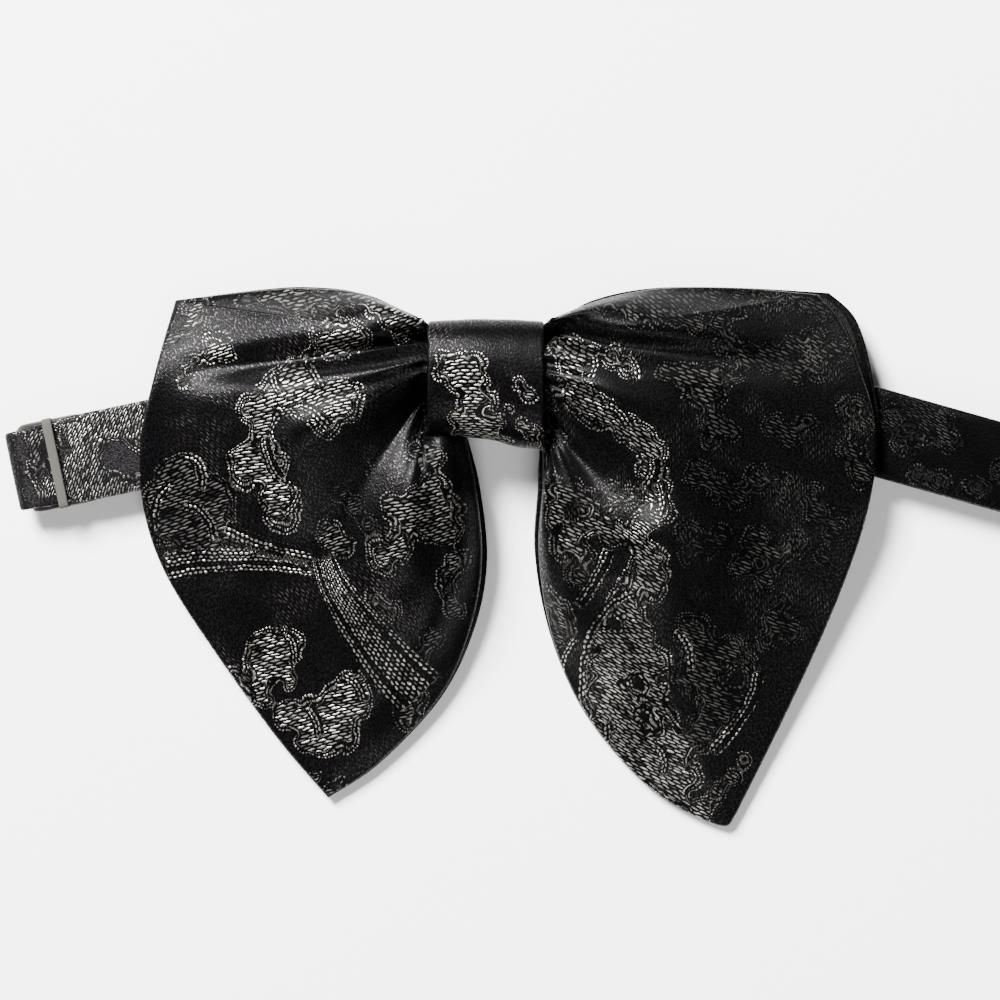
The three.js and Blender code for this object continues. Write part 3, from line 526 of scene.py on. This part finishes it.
# A wing panel: straight lines fan out from the neck to the outline. Along each, the height eases from
# the neck's to the hem's, plus a sine swell, folds and gathers. Rows are closer where the hem rolls.
def wingPanel(name, wing, isFront):
    fineness, outRows = panel["fineFront" if isFront else "fineBack"]
    columns = wingColumns(wing, fineness)
    neckX = wing["side"] * wing["neckX"]
    for _ in range(3):
        angle = np.unwrap(np.arctan2(columns["y"] - columns["neckY"], columns["x"] - neckX))
        columns["neckY"] = smoothOverAngle(columns["neckY"][None, :], angle, panel["neckSpread"])[0]
    reach = np.hypot(columns["x"] - neckX, columns["y"] - columns["neckY"])
    span = reach - (columns["inset"] if isFront else 0)
    roll = np.minimum(panel["frontRoll" if isFront else "backRoll"], 0.4 * span)
    turn = np.radians(np.array(panel["rollTurns"]))
    rest = np.linspace(0, 1, outRows) ** panel["rowPower"]
    distance = rest[:, None] * (span - roll)
    rolled = span - roll + roll * np.sin(turn)[:, None]
    drop = np.concatenate([np.zeros(distance.shape), roll * (1 - np.cos(turn))[:, None] + 0 * rolled])
    distance = np.concatenate([distance, rolled])
    out = distance / reach
    x = lerp(neckX, columns["x"], out)
    y = lerp(columns["neckY"], columns["y"], out)
    angle = np.unwrap(np.arctan2(columns["y"] - columns["neckY"], columns["x"] - neckX))
    roundReach = smoothOverAngle(reach[None, :], angle, panel["reachSpread"])
    share = np.clip(lerp(distance / roundReach, out, np.clip(out, 0, 1) ** 6), 0, 1)
    backNeck = neck["backZ"] + neck["backRise"] * (columns["neckY"] / neck["backHalfY"]) ** 2
    back = lerp(backNeck, columns["hem"], share ** 2) + wing["cloth"]
    top = columns["neckY"][0]
    bottom = columns["neckY"][-1]
    across = (columns["neckY"] - bottom) / (top - bottom)
    if isFront:
        neckSkin = neckHeight(columns["neckY"] * neck["skinY"])
        frontNeck = neck["middleZ"] + neck["skinHeight"] * neckSkin
        hemTop = back + wing["gap"] + wing["cloth"]
        dome = columns["puff"] * np.sin(math.pi * share ** panel["domePower"])
        settle = 1 - np.clip(distance / span, 0, 1) ** panel["settlePower"]
        body = lerp(frontNeck, hemTop, ease(share ** panel["bodyPower"])) + dome
        body = smoothOverAngle(body, angle, panel["bodySpread"])
        shaped = body + foldRise(wing, x, y) * settle + gathers(wing, across, distance) * settle
        z = np.maximum(hemTop, lerp(hemTop, shaped, settle)) - drop
    else:
        z = back - wing["cloth"] + drop
    inside = []
    for reachX, tuck in panel["tucks"]:
        ellipseY = neck["middleY"] + lerp(-neck["reachY"], neck["reachY"], across)
        ellipseZ = neck["middleZ"] + neckHeight(ellipseY - neck["middleY"]) * (1 if isFront else -1)
        innerY = lerp(columns["neckY"] * 0.97, ellipseY, tuck)
        innerZ = lerp(z[0], ellipseZ, tuck)
        inside.append(np.stack([wing["side"] * reachX + 0 * innerY, innerY, innerZ], -1))
    grid = np.concatenate([np.stack(inside), np.stack([x, y, z], -1)])
    uv = grid[..., :2].copy()
    uv[..., 0] += panel["slopeStretch"] * (grid[..., 2] - panel["levelZ"]) * wing["side"]
    fields = cloudFields(grid[..., 0], grid[..., 1], wing["clouds"], wing["holes"])
    fields.update(ropeFields(grid[..., 0], grid[..., 1], wing["ropes"]))
    piece = gridPiece(name, grid, uv, fields, flip=(wing["side"] > 0) == isFront)
    giveWall(piece, panel["frontWall" if isFront else "backWall"])
    return piece


leftFront = wingPanel("wing_left_front_cloth", leftWing, True)
leftBack = wingPanel("wing_left_back_cloth", leftWing, False)
rightFront = wingPanel("wing_right_front_cloth", rightWing, True)
rightBack = wingPanel("wing_right_back_cloth", rightWing, False)


print("knot")

knot = {
    "leftX": -13.6, "rightX": 13.2, "topY": 14.5, "lowerLeftY": -12.7, "lowerRightY": -15.9,
    "bottomZ": 8.3, "topZ": 23.8, "square": 2.1, "wall": 1.2, "edgeRoll": 0.7, "swell": 0.35,
    "waist": 0.6,  # mm that the band draws in towards its two edges
    "patternSlip": 0.4, "patternDown": 4,  # the pattern leans on the sides, and ends below the middle
    "creases": [(0.22, 0.20, 0.06), (0.60, 0.28, 0.10), (0.84, 0.16, 0.05)],  # place, mm deep, width
    "clouds": [  # share of floats shown, lower for painted shade, and round lobes as x, y, radius
        (1, [(-9.6, 4.6, 2.6), (-6.4, 3.4, 3.4), (-2.6, 4, 3), (-6.6, -0.6, 3.2), (-1.8, -0.2, 3.2),
            (-4, -4.6, 3.4), (0.6, -4.6, 2.8), (-6.4, -9.4, 3), (-1.6, -9.6, 3.4), (2.6, -10.6, 2.6),
            (-5.4, -14.2, 3.6), (-2.4, -12.6, 3.4), (0.6, -14.6, 3.6), (4.6, -15.8, 2.4),
            (-10.6, 1.6, 2.2)]),
        (0.8, [(7.6, -0.6, 2), (9.6, -3, 2.4), (5.4, -6.6, 1.6), (7.6, -10.6, 2), (10.4, -12.6, 2.8),
            (11.4, -16, 2.4)]),
    ],
}


# Cos and sin of an angle, each to a power with its sign kept: they draw a rounded oblong.
def oblong(angle, power):
    cosine = np.sign(np.cos(angle)) * np.abs(np.cos(angle)) ** power
    sine = np.sign(np.sin(angle)) * np.abs(np.sin(angle)) ** power
    return cosine, sine


# The knot band: a rounded oblong across Y and Z, swept along X. Soft creases, bells across the band,
# run round it, and its two long edges turn in by a quarter circle.
def knotBand():
    angle = np.linspace(0, 2 * math.pi, 241)[:-1]
    across = np.linspace(0, 1, 61)
    edge = np.minimum(across, 1 - across) * (knot["rightX"] - knot["leftX"])
    turnIn = knot["edgeRoll"] * (1 - np.sqrt(1 - (1 - np.clip(edge / knot["edgeRoll"], 0, 1)) ** 2))
    lowerY = lerp(knot["lowerLeftY"], knot["lowerRightY"], ease(1.5 * across - 0.5))
    middleY = (knot["topY"] + lowerY) / 2
    cosine, sine = oblong(angle[:, None], 2 / knot["square"])
    swell = knot["swell"] * np.sin(math.pi * across)
    crease = np.zeros((len(angle), len(across)))
    for place, size, width in knot["creases"]:
        bent = place + 0.04 * np.sin(2 * angle + 9 * place)[:, None]
        crease += size * np.exp(-(((across - bent) / width) ** 2))
    inward = turnIn + crease * (0.3 + 0.7 * np.clip(-cosine, 0, 1))
    inward = inward + knot["waist"] * (1 - np.sin(math.pi * across))
    y = middleY + ((knot["topY"] - lowerY) / 2 - inward) * cosine
    halfZ = (knot["topZ"] - knot["bottomZ"]) / 2 - knot["swell"]
    z = neck["middleZ"] + (halfZ - inward + swell * (sine > 0)) * sine
    x = lerp(knot["leftX"], knot["rightX"], across) + 0 * y
    grid = np.stack([x, y, z], -1)
    steps = np.hypot(np.diff(y, axis=0, append=y[:1]), np.diff(z, axis=0, append=z[:1]))
    around = np.concatenate([np.zeros((1, len(across))), np.cumsum(steps, axis=0)])
    uv = np.stack([np.vstack([x, x[:1]]), around], -1)
    fields = cloudFields(x, y - knot["patternSlip"] * (knot["topZ"] - z), knot["clouds"])
    fields["cloud"] = np.where(z > neck["middleZ"] - knot["patternDown"], fields["cloud"], -5)
    piece = gridPiece("knot_cloth", grid, uv, fields, wrapRows=True)
    giveWall(piece, knot["wall"])
    return piece


knotPiece = knotBand()


print("strap")


# A straight row of equal lobes from one place to another in even steps, to a tenth of a mm.
def lobeRow(start, end, count, radius):
    return [(x, y, radius) for x, y in np.round(np.linspace(start, end, count), 1)]


strap = {
    "width": 20.0, "wall": 1.6, "clearance": 4.8, "leftHeading": 0.2076, "rightHeading": -0.275,
    "arcRadius": 170.0, "arcStart": (-17.2, -1.1), "leftReach": 93.6, "rightReach": 149.4,
    "endSwell": 0.9, "endSwellWidth": 3.6,  # how far the cloth bulges up before its left fold
    "sliderX": -99.4, "rightEndX": -95.5, "halfGap": 0.15, "adjusterGap": 1.7, "step": 1.2,
    "inSlider": 19.0, "pastSlider": 18.8, "inHook": 18.2,  # how wide it is drawn in there
    "thinning": 0.10, "waver": 0.05, "waverLength": 3.1,
    "leftClouds": [  # share of floats shown, lower for painted shade, and round lobes as x, y, radius
        (0.85, [(-95.6, -12, 5.2), (-91, -10.5, 6.4), (-83.5, -8, 6.4), (-76, -8.5, 6.5),
            (-94.6, -20.5, 5.2), (-92, -24, 6.4), (-84, -25.5, 6), (-77, -24, 5.4), (-72, -22, 5),
            (-94.5, -16.5, 6), (-80.5, -13.5, 3.4)]),
        (0.06, lobeRow((-100.48, -28.65), (-104.39, -9.8), 10, 2.5)),
        (0.06, lobeRow((-107.58, -30.14), (-111.56, -11.34), 10, 2.4)),
        (0.6, [(-104.1, -12, 3.1), (-103.4, -18.5, 3), (-101.7, -23.4, 3.3), (-100.4, -24.5, 3.1)]),
    ],
    "leftHoles": [(-85.5, -16.5, 2.6), (-82.5, -18.4, 3), (-78, -18.6, 2.6)],
    "rightClouds": [
        (0.16, [(93, -8, 3.6), (98.5, -5.5, 4), (104, -8, 4.2), (106, -13, 3.6), (95.5, -13.5, 3.4),
            (100, -12, 3)]),
        (0.12, [(99, -21, 3), (104, -22.5, 3), (113, -24, 3.4), (118, -20, 3)]),
    ],
}
frontZ = strap["wall"] * 1.5 + strap["clearance"]
backZ = strap["wall"] / 2
returnZ = strap["wall"] / 2 + strap["clearance"] - strap["adjusterGap"]


# The strap's middle line from above, at l along it: a straight line, an arc, and a straight line.
def strapPlan(l):
    arcLength = strap["arcRadius"] * (strap["leftHeading"] - strap["rightHeading"])
    turned = np.clip(l, 0, arcLength) / strap["arcRadius"]
    heading = strap["leftHeading"] - turned
    straight = l - turned * strap["arcRadius"]
    arcX = strap["arcRadius"] * (math.sin(strap["leftHeading"]) - np.sin(heading))
    arcY = strap["arcRadius"] * (np.cos(heading) - math.cos(strap["leftHeading"]))
    x = strap["arcStart"][0] + arcX + straight * np.cos(heading)
    y = strap["arcStart"][1] + arcY + straight * np.sin(heading)
    return x, y, heading


# The length along the strap's left straight part at x: the way in x over the heading's cosine.
def lengthAtX(x):
    return (x - strap["arcStart"][0]) / math.cos(strap["leftHeading"])


# A stretch of the route at one height, in equal steps.
def straightRun(start, end, z):
    count = max(2, round(abs(end - start) / strap["step"]))
    l = np.linspace(start, end, count + 1)
    return np.stack([l, np.full(l.shape, z)], -1)


# A half circle of the route from one height to another.
def halfTurn(l, z1, z2, side):
    angle = np.linspace(0, math.pi, 17)[1:-1]
    z = (z1 + z2) / 2 + (z1 - z2) / 2 * np.cos(angle)
    return np.stack([l + side * abs(z2 - z1) / 2 * np.sin(angle), z], -1)


# A folded band of cloth carried along a route. Its section has flat faces and half-round edges. It
# thins by a share of the cube of the way to its edges, and its faces waver as a small sine.
def bandPiece(name, route, widths, clouds, holes):
    l, z = route[:, 0], route[:, 1]
    forward = np.gradient(route, axis=0)
    forward /= np.hypot(forward[:, 0], forward[:, 1])[:, None]
    x, y, heading = strapPlan(l)
    half = strap["wall"] / 2
    bend = np.radians(np.linspace(-90, 90, 9))
    flat = np.linspace(-1, 1, 15)[1:-1]
    side = np.concatenate([1 + 0 * bend, flat[::-1], -1 + 0 * bend, flat])
    edgeRound = np.concatenate([np.cos(bend), 0 * flat, -np.cos(bend), 0 * flat]) * half
    high = np.concatenate([np.sin(bend), 1 + 0 * flat, -np.sin(bend), -1 + 0 * flat])
    reach = widths[:, None] / 2 - half
    a = reach * side + edgeRound
    travel = np.concatenate([[0], np.cumsum(np.hypot(np.diff(l), np.diff(z)))])[:, None]
    cushion = 1 - strap["thinning"] * np.abs(a / (widths[:, None] / 2)) ** 3
    waver = strap["waver"] * np.sin(travel / strap["waverLength"] + a * 0.5)
    b = half * high * cushion + waver * (high > 0.99)
    upX = -np.cos(heading) * forward[:, 1]
    upY = -np.sin(heading) * forward[:, 1]
    upZ = forward[:, 0]
    grid = np.stack([
        x[:, None] - np.sin(heading)[:, None] * a + upX[:, None] * b,
        y[:, None] + np.cos(heading)[:, None] * a + upY[:, None] * b,
        z[:, None] + upZ[:, None] * b,
    ], -1)
    around = a + 3.0 * (high[None, :] < 0)
    uvColumns = np.concatenate([around, around[:, :1]], 1)
    uv = np.stack([travel + 0 * uvColumns, uvColumns], -1)
    fields = cloudFields(grid[..., 0], grid[..., 1], clouds, holes)
    return gridPiece(name, grid, uv, fields, wrapColumns=True, flip=True, caps=True)


# The left half: over the hook and back to the slider, drawn in at both. Before the fold its top rises
# by a bump, the square of the distance times e to minus that square, with 2.7 to make its peak 1.
def strapLeft():
    sliderL = lengthAtX(strap["sliderX"])
    foldL = -strap["leftReach"] + (frontZ - returnZ) / 2
    top = straightRun(-strap["arcStart"][0] - strap["halfGap"], foldL, frontZ)
    swell = (top[:, 0] - foldL) / strap["endSwellWidth"]
    top[:, 1] += strap["endSwell"] * 2.7 * swell ** 2 * np.exp(-(swell ** 2))
    fold = halfTurn(foldL, frontZ, returnZ, -1)
    under = straightRun(foldL, sliderL + 2, returnZ)
    places = [foldL, sliderL - 4, sliderL - 1.5, sliderL + 1.5, sliderL + 5, 0]
    names = ["inHook", "pastSlider", "inSlider", "inSlider", "width", "width"]
    topWidths = np.interp(top[:, 0], places, [strap[name] for name in names])
    widths = np.concatenate([topWidths, np.full(len(fold) + len(under), strap["inHook"])])
    route = np.concatenate([top, fold, under])
    return bandPiece("strap_left_cloth", route, widths, strap["leftClouds"], strap["leftHoles"])


# The right half: out to its fold and back along the table to the hook, all of one width.
def strapRight():
    foldL = strap["rightReach"] - (frontZ - backZ) / 2
    route = np.concatenate([
        straightRun(-strap["arcStart"][0] + strap["halfGap"], foldL, frontZ),
        halfTurn(foldL, frontZ, backZ, 1),
        straightRun(foldL, lengthAtX(strap["rightEndX"]), backZ),
    ])
    widths = np.full(len(route), strap["width"])
    return bandPiece("strap_right_cloth", route, widths, strap["rightClouds"], [])


leftStrap = strapLeft()
rightStrap = strapRight()


print("slider and clasp")

slider = {"inside": 19.6, "endWall": 0.7, "bar": 1.1, "depth": 2.2, "gap": 0.3}
clasp = {"x": -99.3, "length": 16.0, "bar": 1.4, "side": 1.0, "thickness": 0.9, "gap": 0.3}


# A closed bar: its middle line is an oblong with rounded corners, and its section a rounded box as wide
# as the bar there. Its own axes are turned to the given ones, about its centre.
def loopBar(name, size, bar, depth, centre, axes):
    turn = np.linspace(0, 2 * math.pi, 161)[:-1]
    section = np.linspace(0, 2 * math.pi, 25)[:-1]
    cosine, sine = oblong(turn[:, None], 0.18)
    outward, deep = oblong(section, 0.4)
    a = (size[0] / 2 - bar[0] / 2 + outward * bar[0] / 2) * cosine
    b = (size[1] / 2 - bar[1] / 2 + outward * bar[1] / 2) * sine
    c = deep * depth / 2 + 0 * a
    grid = centre + np.stack([a, b, c], -1) @ np.array(axes)
    uv = np.zeros((len(turn) + 1, len(section) + 1, 2))
    return gridPiece(name, grid, uv, wrapRows=True, wrapColumns=True)


# The slider's bar stands round the strap's upper layer, square to it.
def sliderPiece():
    x, y, heading = strapPlan(lengthAtX(strap["sliderX"]))
    height = strap["wall"] + 2 * slider["gap"] + 2 * slider["bar"]
    size = (slider["inside"] + 2 * slider["endWall"], height)
    bar = (slider["endWall"], slider["bar"])
    across = (-math.sin(heading), math.cos(heading), 0)
    along = (math.cos(heading), math.sin(heading), 0)
    return loopBar("slider_bar", size, bar, slider["depth"], (x, y, frontZ), [across, (0, 0, 1), along])


# The clasp's loop slopes from the left half's returning layer down to the right half's on the table.
def claspPiece():
    x, y, heading = strapPlan(lengthAtX(clasp["x"]))
    highZ = strap["wall"] + strap["clearance"] - strap["adjusterGap"] / 2
    lowZ = strap["wall"] + clasp["gap"] + clasp["thickness"] / 2 + 0.1
    slope = math.asin((highZ - lowZ) / (clasp["length"] - clasp["bar"]))
    size = (clasp["length"], strap["inHook"] + 2 * (clasp["side"] + clasp["gap"]))
    bar = (clasp["bar"], clasp["side"])
    middle = (x, y, (highZ + lowZ) / 2)
    c, s = math.cos(slope), math.sin(slope)
    along = (math.cos(heading) * c, math.sin(heading) * c, -s)
    across = (-math.sin(heading), math.cos(heading), 0)
    up = (math.cos(heading) * s, math.sin(heading) * s, c)
    return loopBar("clasp_wire", size, bar, clasp["thickness"], middle, [along, across, up])


sliderObject = sliderPiece()
claspObject = claspPiece()


print("materials")

jacquard = {
    "floatLength": 2.3,     # mm along a float in the filled parts
    "floatPitch": 0.74,     # mm from row to row
    "beadLength": 0.86,     # mm between the beads of an outline row
    "ropeBead": 1.4,        # times as long beads in the ropes
    "rimPitch": 0.9,        # mm between outline rows
    "rimRows": (1.2, 3.4),  # fewest and most rows that follow a cloud's edge
    "slantLength": 1.7,     # mm along the faint slanting floats that lie in patches between the clouds
    "slantPitch": 0.62,     # mm from row to row of them
    "slantAngle": 62,       # degrees that they lean
    "grainAcross": 0.40,    # mm, the satin's own thread, drawn three times too coarse so that it shows
    "grainAlong": 0.72,
    "wobble": 0.36,         # mm that single threads stray from their row
    "drift": 1.9,           # mm that the clouds' outlines wander in and out
    "bumpDepth": 0.25,      # mm that a float stands up
    # shift from row to row, and a float's length and thickness, as shares of its slot
    "fillShape": (0.43, 0.94, 0.62),
    "rimShape": (0.5, 0.70, 0.60),
    "ropeShape": (0.4, 0.8, 0.58),
    "slantShape": (0.37, 0.8, 0.42),
    # how fine the noises are, in cycles for each mm
    "wanderScale": 0.05, "patchScale": 0.07, "driftScale": 0.22, "strayScale": 0.55,
}


# Short raised floats in rows: u runs along the rows and v counts them. Row by row they are shifted by a
# share of their length and a little by chance. 1 in a float's middle, falling to 0 at the edge of the
# ellipse where du squared plus dv squared reaches 1, and each float lies lower by a share of chance.
def floatRows(add, u, length, rows, shift, long, thick):
    row = add("Math FLOOR", [rows])
    count = add("Math DIVIDE", [u, length])
    shifted = add("Math MULTIPLY_ADD", [row, shift, count])
    rowChance = add("TexWhiteNoise", {"noise_dimensions": "1D", "W": row})
    slot = add("Math MULTIPLY_ADD", [rowChance, 0.3, shifted])
    inSlot = add("Math FRACT", [slot])
    inRow = add("Math FRACT", [rows])
    du = add("Math MULTIPLY_ADD", [inSlot, 2 / long, -1 / long])
    dv = add("Math MULTIPLY_ADD", [inRow, 2 / thick, -1 / thick])
    duSquared = add("Math MULTIPLY", [du, du])
    dvSquared = add("Math MULTIPLY", [dv, dv])
    squares = add("Math ADD", [duSquared, dvSquared])
    dome = add("Math SUBTRACT", {"use_clamp": True, 0: 1.0, 1: squares})
    slotNumber = add("Math FLOOR", [slot])
    which = add("CombineXYZ", [slotNumber, row])
    chance = add("TexWhiteNoise", {"noise_dimensions": "2D", "Vector": which})
    level = add("MapRange", {0: chance, 3: 0.08, 4: 1.0})
    return add("Math MULTIPLY", [dome, level])


# Polyester satin jacquard, woven: the ground is a smooth face of long threads with a grainy shine where
# it faces the light, and the clouds are rows of short raised floats between outline rows of beads.
def jacquardSatin(name, groundHex, floatHex, tilt, fineness=1.0):
    material, add, shader = newMaterial(name)
    uv = add("UVMap", {"uv_map": "cloth"})
    place = add("Mapping", {
        "Scale": (100 * fineness, 100 * fineness, 100), "Rotation": (0, 0, math.radians(-tilt)), 0: uv,
    })
    wander = add("TexNoise", {"Scale": jacquard["wanderScale"], "Detail": 1.0, "Vector": place})
    thread = add("VectorMath MULTIPLY_ADD", [wander.outputs["Color"], (3, 4, 0), place])
    patches = add("TexNoise", {"Scale": jacquard["patchScale"], "Detail": 2.0, "Vector": place})
    stray = add("TexNoise", {"Scale": jacquard["strayScale"], "Detail": 1.0, "Vector": place})
    strayBy = add("VectorMath MULTIPLY_ADD", [
        stray.outputs["Color"], (3 * jacquard["wobble"], 2 * jacquard["wobble"], 0), thread,
    ])
    split = add("SeparateXYZ", [strayBy])
    fillRows = add("Math DIVIDE", [split.outputs["Y"], jacquard["floatPitch"]])
    fillFloats = floatRows(add, split, jacquard["floatLength"], fillRows, *jacquard["fillShape"])

    field = {key: add("Attribute", {"attribute_name": key}).outputs["Fac"]
             for key in ("cloud", "arc", "fill", "ropeRow", "ropeLength", "ropeAmount")}
    drift = add("TexNoise", {"Scale": jacquard["driftScale"], "Detail": 1.0, "Vector": place})
    outward = add("Math MULTIPLY_ADD", [drift, 2 * jacquard["drift"], field["cloud"]])
    edge = add("Math SUBTRACT", [outward, jacquard["drift"]])
    bentEdge = add("Math MULTIPLY_ADD", [stray, 2 * jacquard["wobble"], edge])
    rimDepth = add("Math SUBTRACT", [bentEdge, jacquard["wobble"]])
    rimCount = add("Math DIVIDE", [rimDepth, jacquard["rimPitch"]])
    rimFloats = floatRows(add, field["arc"], jacquard["beadLength"], rimCount, *jacquard["rimShape"])
    rimBreak = add("MapRange", [stray, 0.38, 0.56, 0.35, 1.0])
    rimFloats = add("Math MULTIPLY", [rimFloats, rimBreak])
    ropeBend = add("Math MULTIPLY_ADD", [patches, 2.2, field["ropeRow"]])
    ropeRow = add("Math MULTIPLY_ADD", [stray, 3 * jacquard["wobble"], ropeBend])
    ropeBead = jacquard["beadLength"] * jacquard["ropeBead"]
    ropeFloats = floatRows(add, field["ropeLength"], ropeBead, ropeRow, *jacquard["ropeShape"])
    ropeIndex = add("Math FLOOR", [ropeRow])
    ropeShare = add("TexWhiteNoise", {"noise_dimensions": "1D", "W": ropeIndex})
    ropeLevel = add("MapRange", [ropeShare, 0.1, 0.6, 0.1, 1.0])
    ropeFloats = add("Math MULTIPLY", [ropeFloats, ropeLevel])
    started = add("Math GREATER_THAN", [edge, 0.0])
    rimLimit = add("MapRange", [patches, 0.38, 0.60, *jacquard["rimRows"]])
    filled = add("Math GREATER_THAN", [rimCount, rimLimit])
    inCloud = add("Mix", {0: filled, 2: rimFloats, 3: fillFloats})
    cloudFloats = add("Math MULTIPLY", [inCloud, started])
    roped = add("Math GREATER_THAN", [field["ropeAmount"], 0.5])
    drawn = add("Mix", {0: roped, 2: cloudFloats, 3: ropeFloats})
    slant = add("Mapping", {"Rotation": (0, 0, math.radians(jacquard["slantAngle"])), 0: strayBy})
    slantSplit = add("SeparateXYZ", [slant])
    slantRows = add("Math DIVIDE", [slantSplit.outputs["Y"], jacquard["slantPitch"]])
    slantFloats = floatRows(
        add, slantSplit, jacquard["slantLength"], slantRows, *jacquard["slantShape"])
    slantAmount = add("MapRange", {0: patches, 1: 0.52, 2: 0.64, 4: 0.30})
    slantShown = add("Math MULTIPLY", [slantFloats, slantAmount])
    raised = add("Math MAXIMUM", [drawn, slantShown])
    mask = add("MapRange", {"interpolation_type": "SMOOTHSTEP", 0: drawn, 1: 0.03, 2: 0.45})

    # How strongly the floats show: the lobes' share, partly the weave's own pattern and partly painted
    # shade, low where the cloth lies in shade, and 1 in the ropes.
    strength = add("Math MAXIMUM", [field["fill"], field["ropeAmount"]])
    patchLevel = add("MapRange", [patches, 0.35, 0.6, 0.45, 1.0])
    uneven = add("Math MULTIPLY", [strength, patchLevel])
    drawnShown = add("Math MULTIPLY", [mask, uneven])
    faint = add("Math MULTIPLY", [slantShown, 0.30])
    shown = add("Math MAXIMUM", [drawnShown, faint])
    fine = add("Mapping", {
        "Scale": (1 / jacquard["grainAcross"], 1 / jacquard["grainAlong"], 1), 0: place,
    })
    grain = add("TexNoise", {"Scale": 1.0, "Detail": 1.0, "Roughness": 0.6, "Vector": fine})
    sharpGrain = add("MapRange", {"interpolation_type": "SMOOTHSTEP", 0: grain, 1: 0.49, 2: 0.68})

    dark = [c * 0.05 for c in linearColour(groundHex)[:3]] + [1]
    ground = add("Mix", {"data_type": "RGBA", 0: sharpGrain, 6: dark, 7: linearColour(groundHex)})
    woven = add("Math MAXIMUM", [started, roped])
    base = add("Mix", {"data_type": "RGBA", 0: woven, 6: ground.outputs[2], 7: dark})
    colour = add("Mix", {"data_type": "RGBA", 0: shown, 6: base.outputs[2], 7: linearColour(floatHex)})
    grainLustre = add("Mix", {0: woven, 2: sharpGrain, 3: 0.0})
    lustre = add("Math MULTIPLY_ADD", {"use_clamp": True, 0: shown, 1: 2.0, 2: grainLustre})
    rough = add("MapRange", {0: sharpGrain, 3: 0.38, 4: 0.26})
    fineHeight = add("Math MULTIPLY", [grain, 0.5])
    height = add("Math ADD", [raised, fineHeight])
    bump = add("Bump", {"Strength": 0.7, "Distance": jacquard["bumpDepth"] * mm, "Height": height})
    tangent = add("Tangent", {"direction_type": "UV_MAP", "uv_map": "cloth"})
    feed(shader, {
        "Base Color": colour.outputs[2], "Metallic": lustre, "Roughness": rough, "Normal": bump,
        "Tangent": tangent, "Anisotropic": 0.7, "Specular IOR Level": 0.035,
    })
    return material


# Moulded acetal, matt: an even warm grey with the faint mottle of a matt mould.
def mouldedGrey(name, colourHex):
    material, add, shader = newMaterial(name)
    place = add("TexCoord", []).outputs["Object"]
    mottle = add("TexNoise", {"Scale": 0.9 / mm, "Detail": 3.0, "Vector": place})
    dark = [c * 0.82 for c in linearColour(colourHex)[:3]] + [1]
    colour = add("Mix", {"data_type": "RGBA", 0: mottle, 6: dark, 7: linearColour(colourHex)})
    bump = add("Bump", {"Strength": 0.3, "Distance": 0.03 * mm, "Height": mottle})
    feed(shader, {
        "Base Color": colour.outputs[2], "Normal": bump, "Roughness": 0.7, "Specular IOR Level": 0.2,
    })
    return material


# Nickel-plated steel wire, drawn: a dull warm mirror, faintly uneven.
def nickelWire(name, colourHex):
    material = mouldedGrey(name, colourHex)
    feed(material.node_tree.nodes["Principled BSDF"], {"Metallic": 1.0, "Roughness": 0.35})
    return material


leftSatin = jacquardSatin("jacquard_satin_left", "#1b191b", "#aaa7a1", 16.0)
rightSatin = jacquardSatin("jacquard_satin_right", "#1c1b1c", "#9e9b96", -27.0)
backSatin = jacquardSatin("jacquard_satin_reverse", "#1d1b19", "#3d3a35", 8.0)
knotSatin = jacquardSatin("jacquard_satin_knot", "#1d1b1d", "#b1aea8", 3.0)
# The left strap's satin: the same cloth with its ground painted lighter, painted light for the strap
# that lies turned to the lamp.
leftStrapSatinPaintedLit = jacquardSatin("jacquard_satin_strap_left_painted_lit", "#4e4c4e", "#a8a5a0", -58.0, 1.25)
# The right strap's satin: the same cloth with its ground and floats painted darker, painted shade for
# the strap that lies turned from the lamp.
rightStrapSatinPaintedShade = jacquardSatin("jacquard_satin_strap_right_painted_shade", "#0f0e10", "#6c6966", -14.0, 1.2)
greyPlastic = mouldedGrey("acetal_moulded", "#3c3a36")
wireMetal = nickelWire("nickel_wire", "#8d8a84")

for piece, material, slot, nodes in [
    (leftFront, leftSatin, "jacquard", ["left_wing_front"]),
    (leftBack, backSatin, "jacquard_back", ["left_wing_back"]),
    (rightFront, rightSatin, "jacquard", ["right_wing_front"]),
    (rightBack, backSatin, "jacquard_back", ["right_wing_back"]),
    (knotPiece, knotSatin, "jacquard", ["knot_band"]),
    (leftStrap, leftStrapSatinPaintedLit, "jacquard_strap", ["strap_left"]),
    (rightStrap, rightStrapSatinPaintedShade, "jacquard_strap", ["strap_right"]),
    (sliderObject, greyPlastic, "slider_plastic", ["slider"]),
    (claspObject, wireMetal, "clasp_metal", ["clasp"]),
]:
    piece.data.materials.append(material)
    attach(piece, "root")
    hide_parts(*nodes)


print("table")

tableMesh = bpy.data.meshes.new("table")
half, topZ = 1.5, -0.0002  # metres, the top just below the bow
corners = [(-half, -half, topZ), (half, -half, topZ), (half, half, topZ), (-half, half, topZ)]
tableMesh.from_pydata(corners, [], [(0, 1, 2, 3)])
table = bpy.data.objects.new("table", tableMesh)
bpy.context.collection.objects.link(table)
whitePaper, addToPaper, paperShader = newMaterial("white_paper")  # matt and plain
feed(paperShader, {"Base Color": linearColour("#fbfbfb"), "Roughness": 0.9})
tableMesh.materials.append(whitePaper)
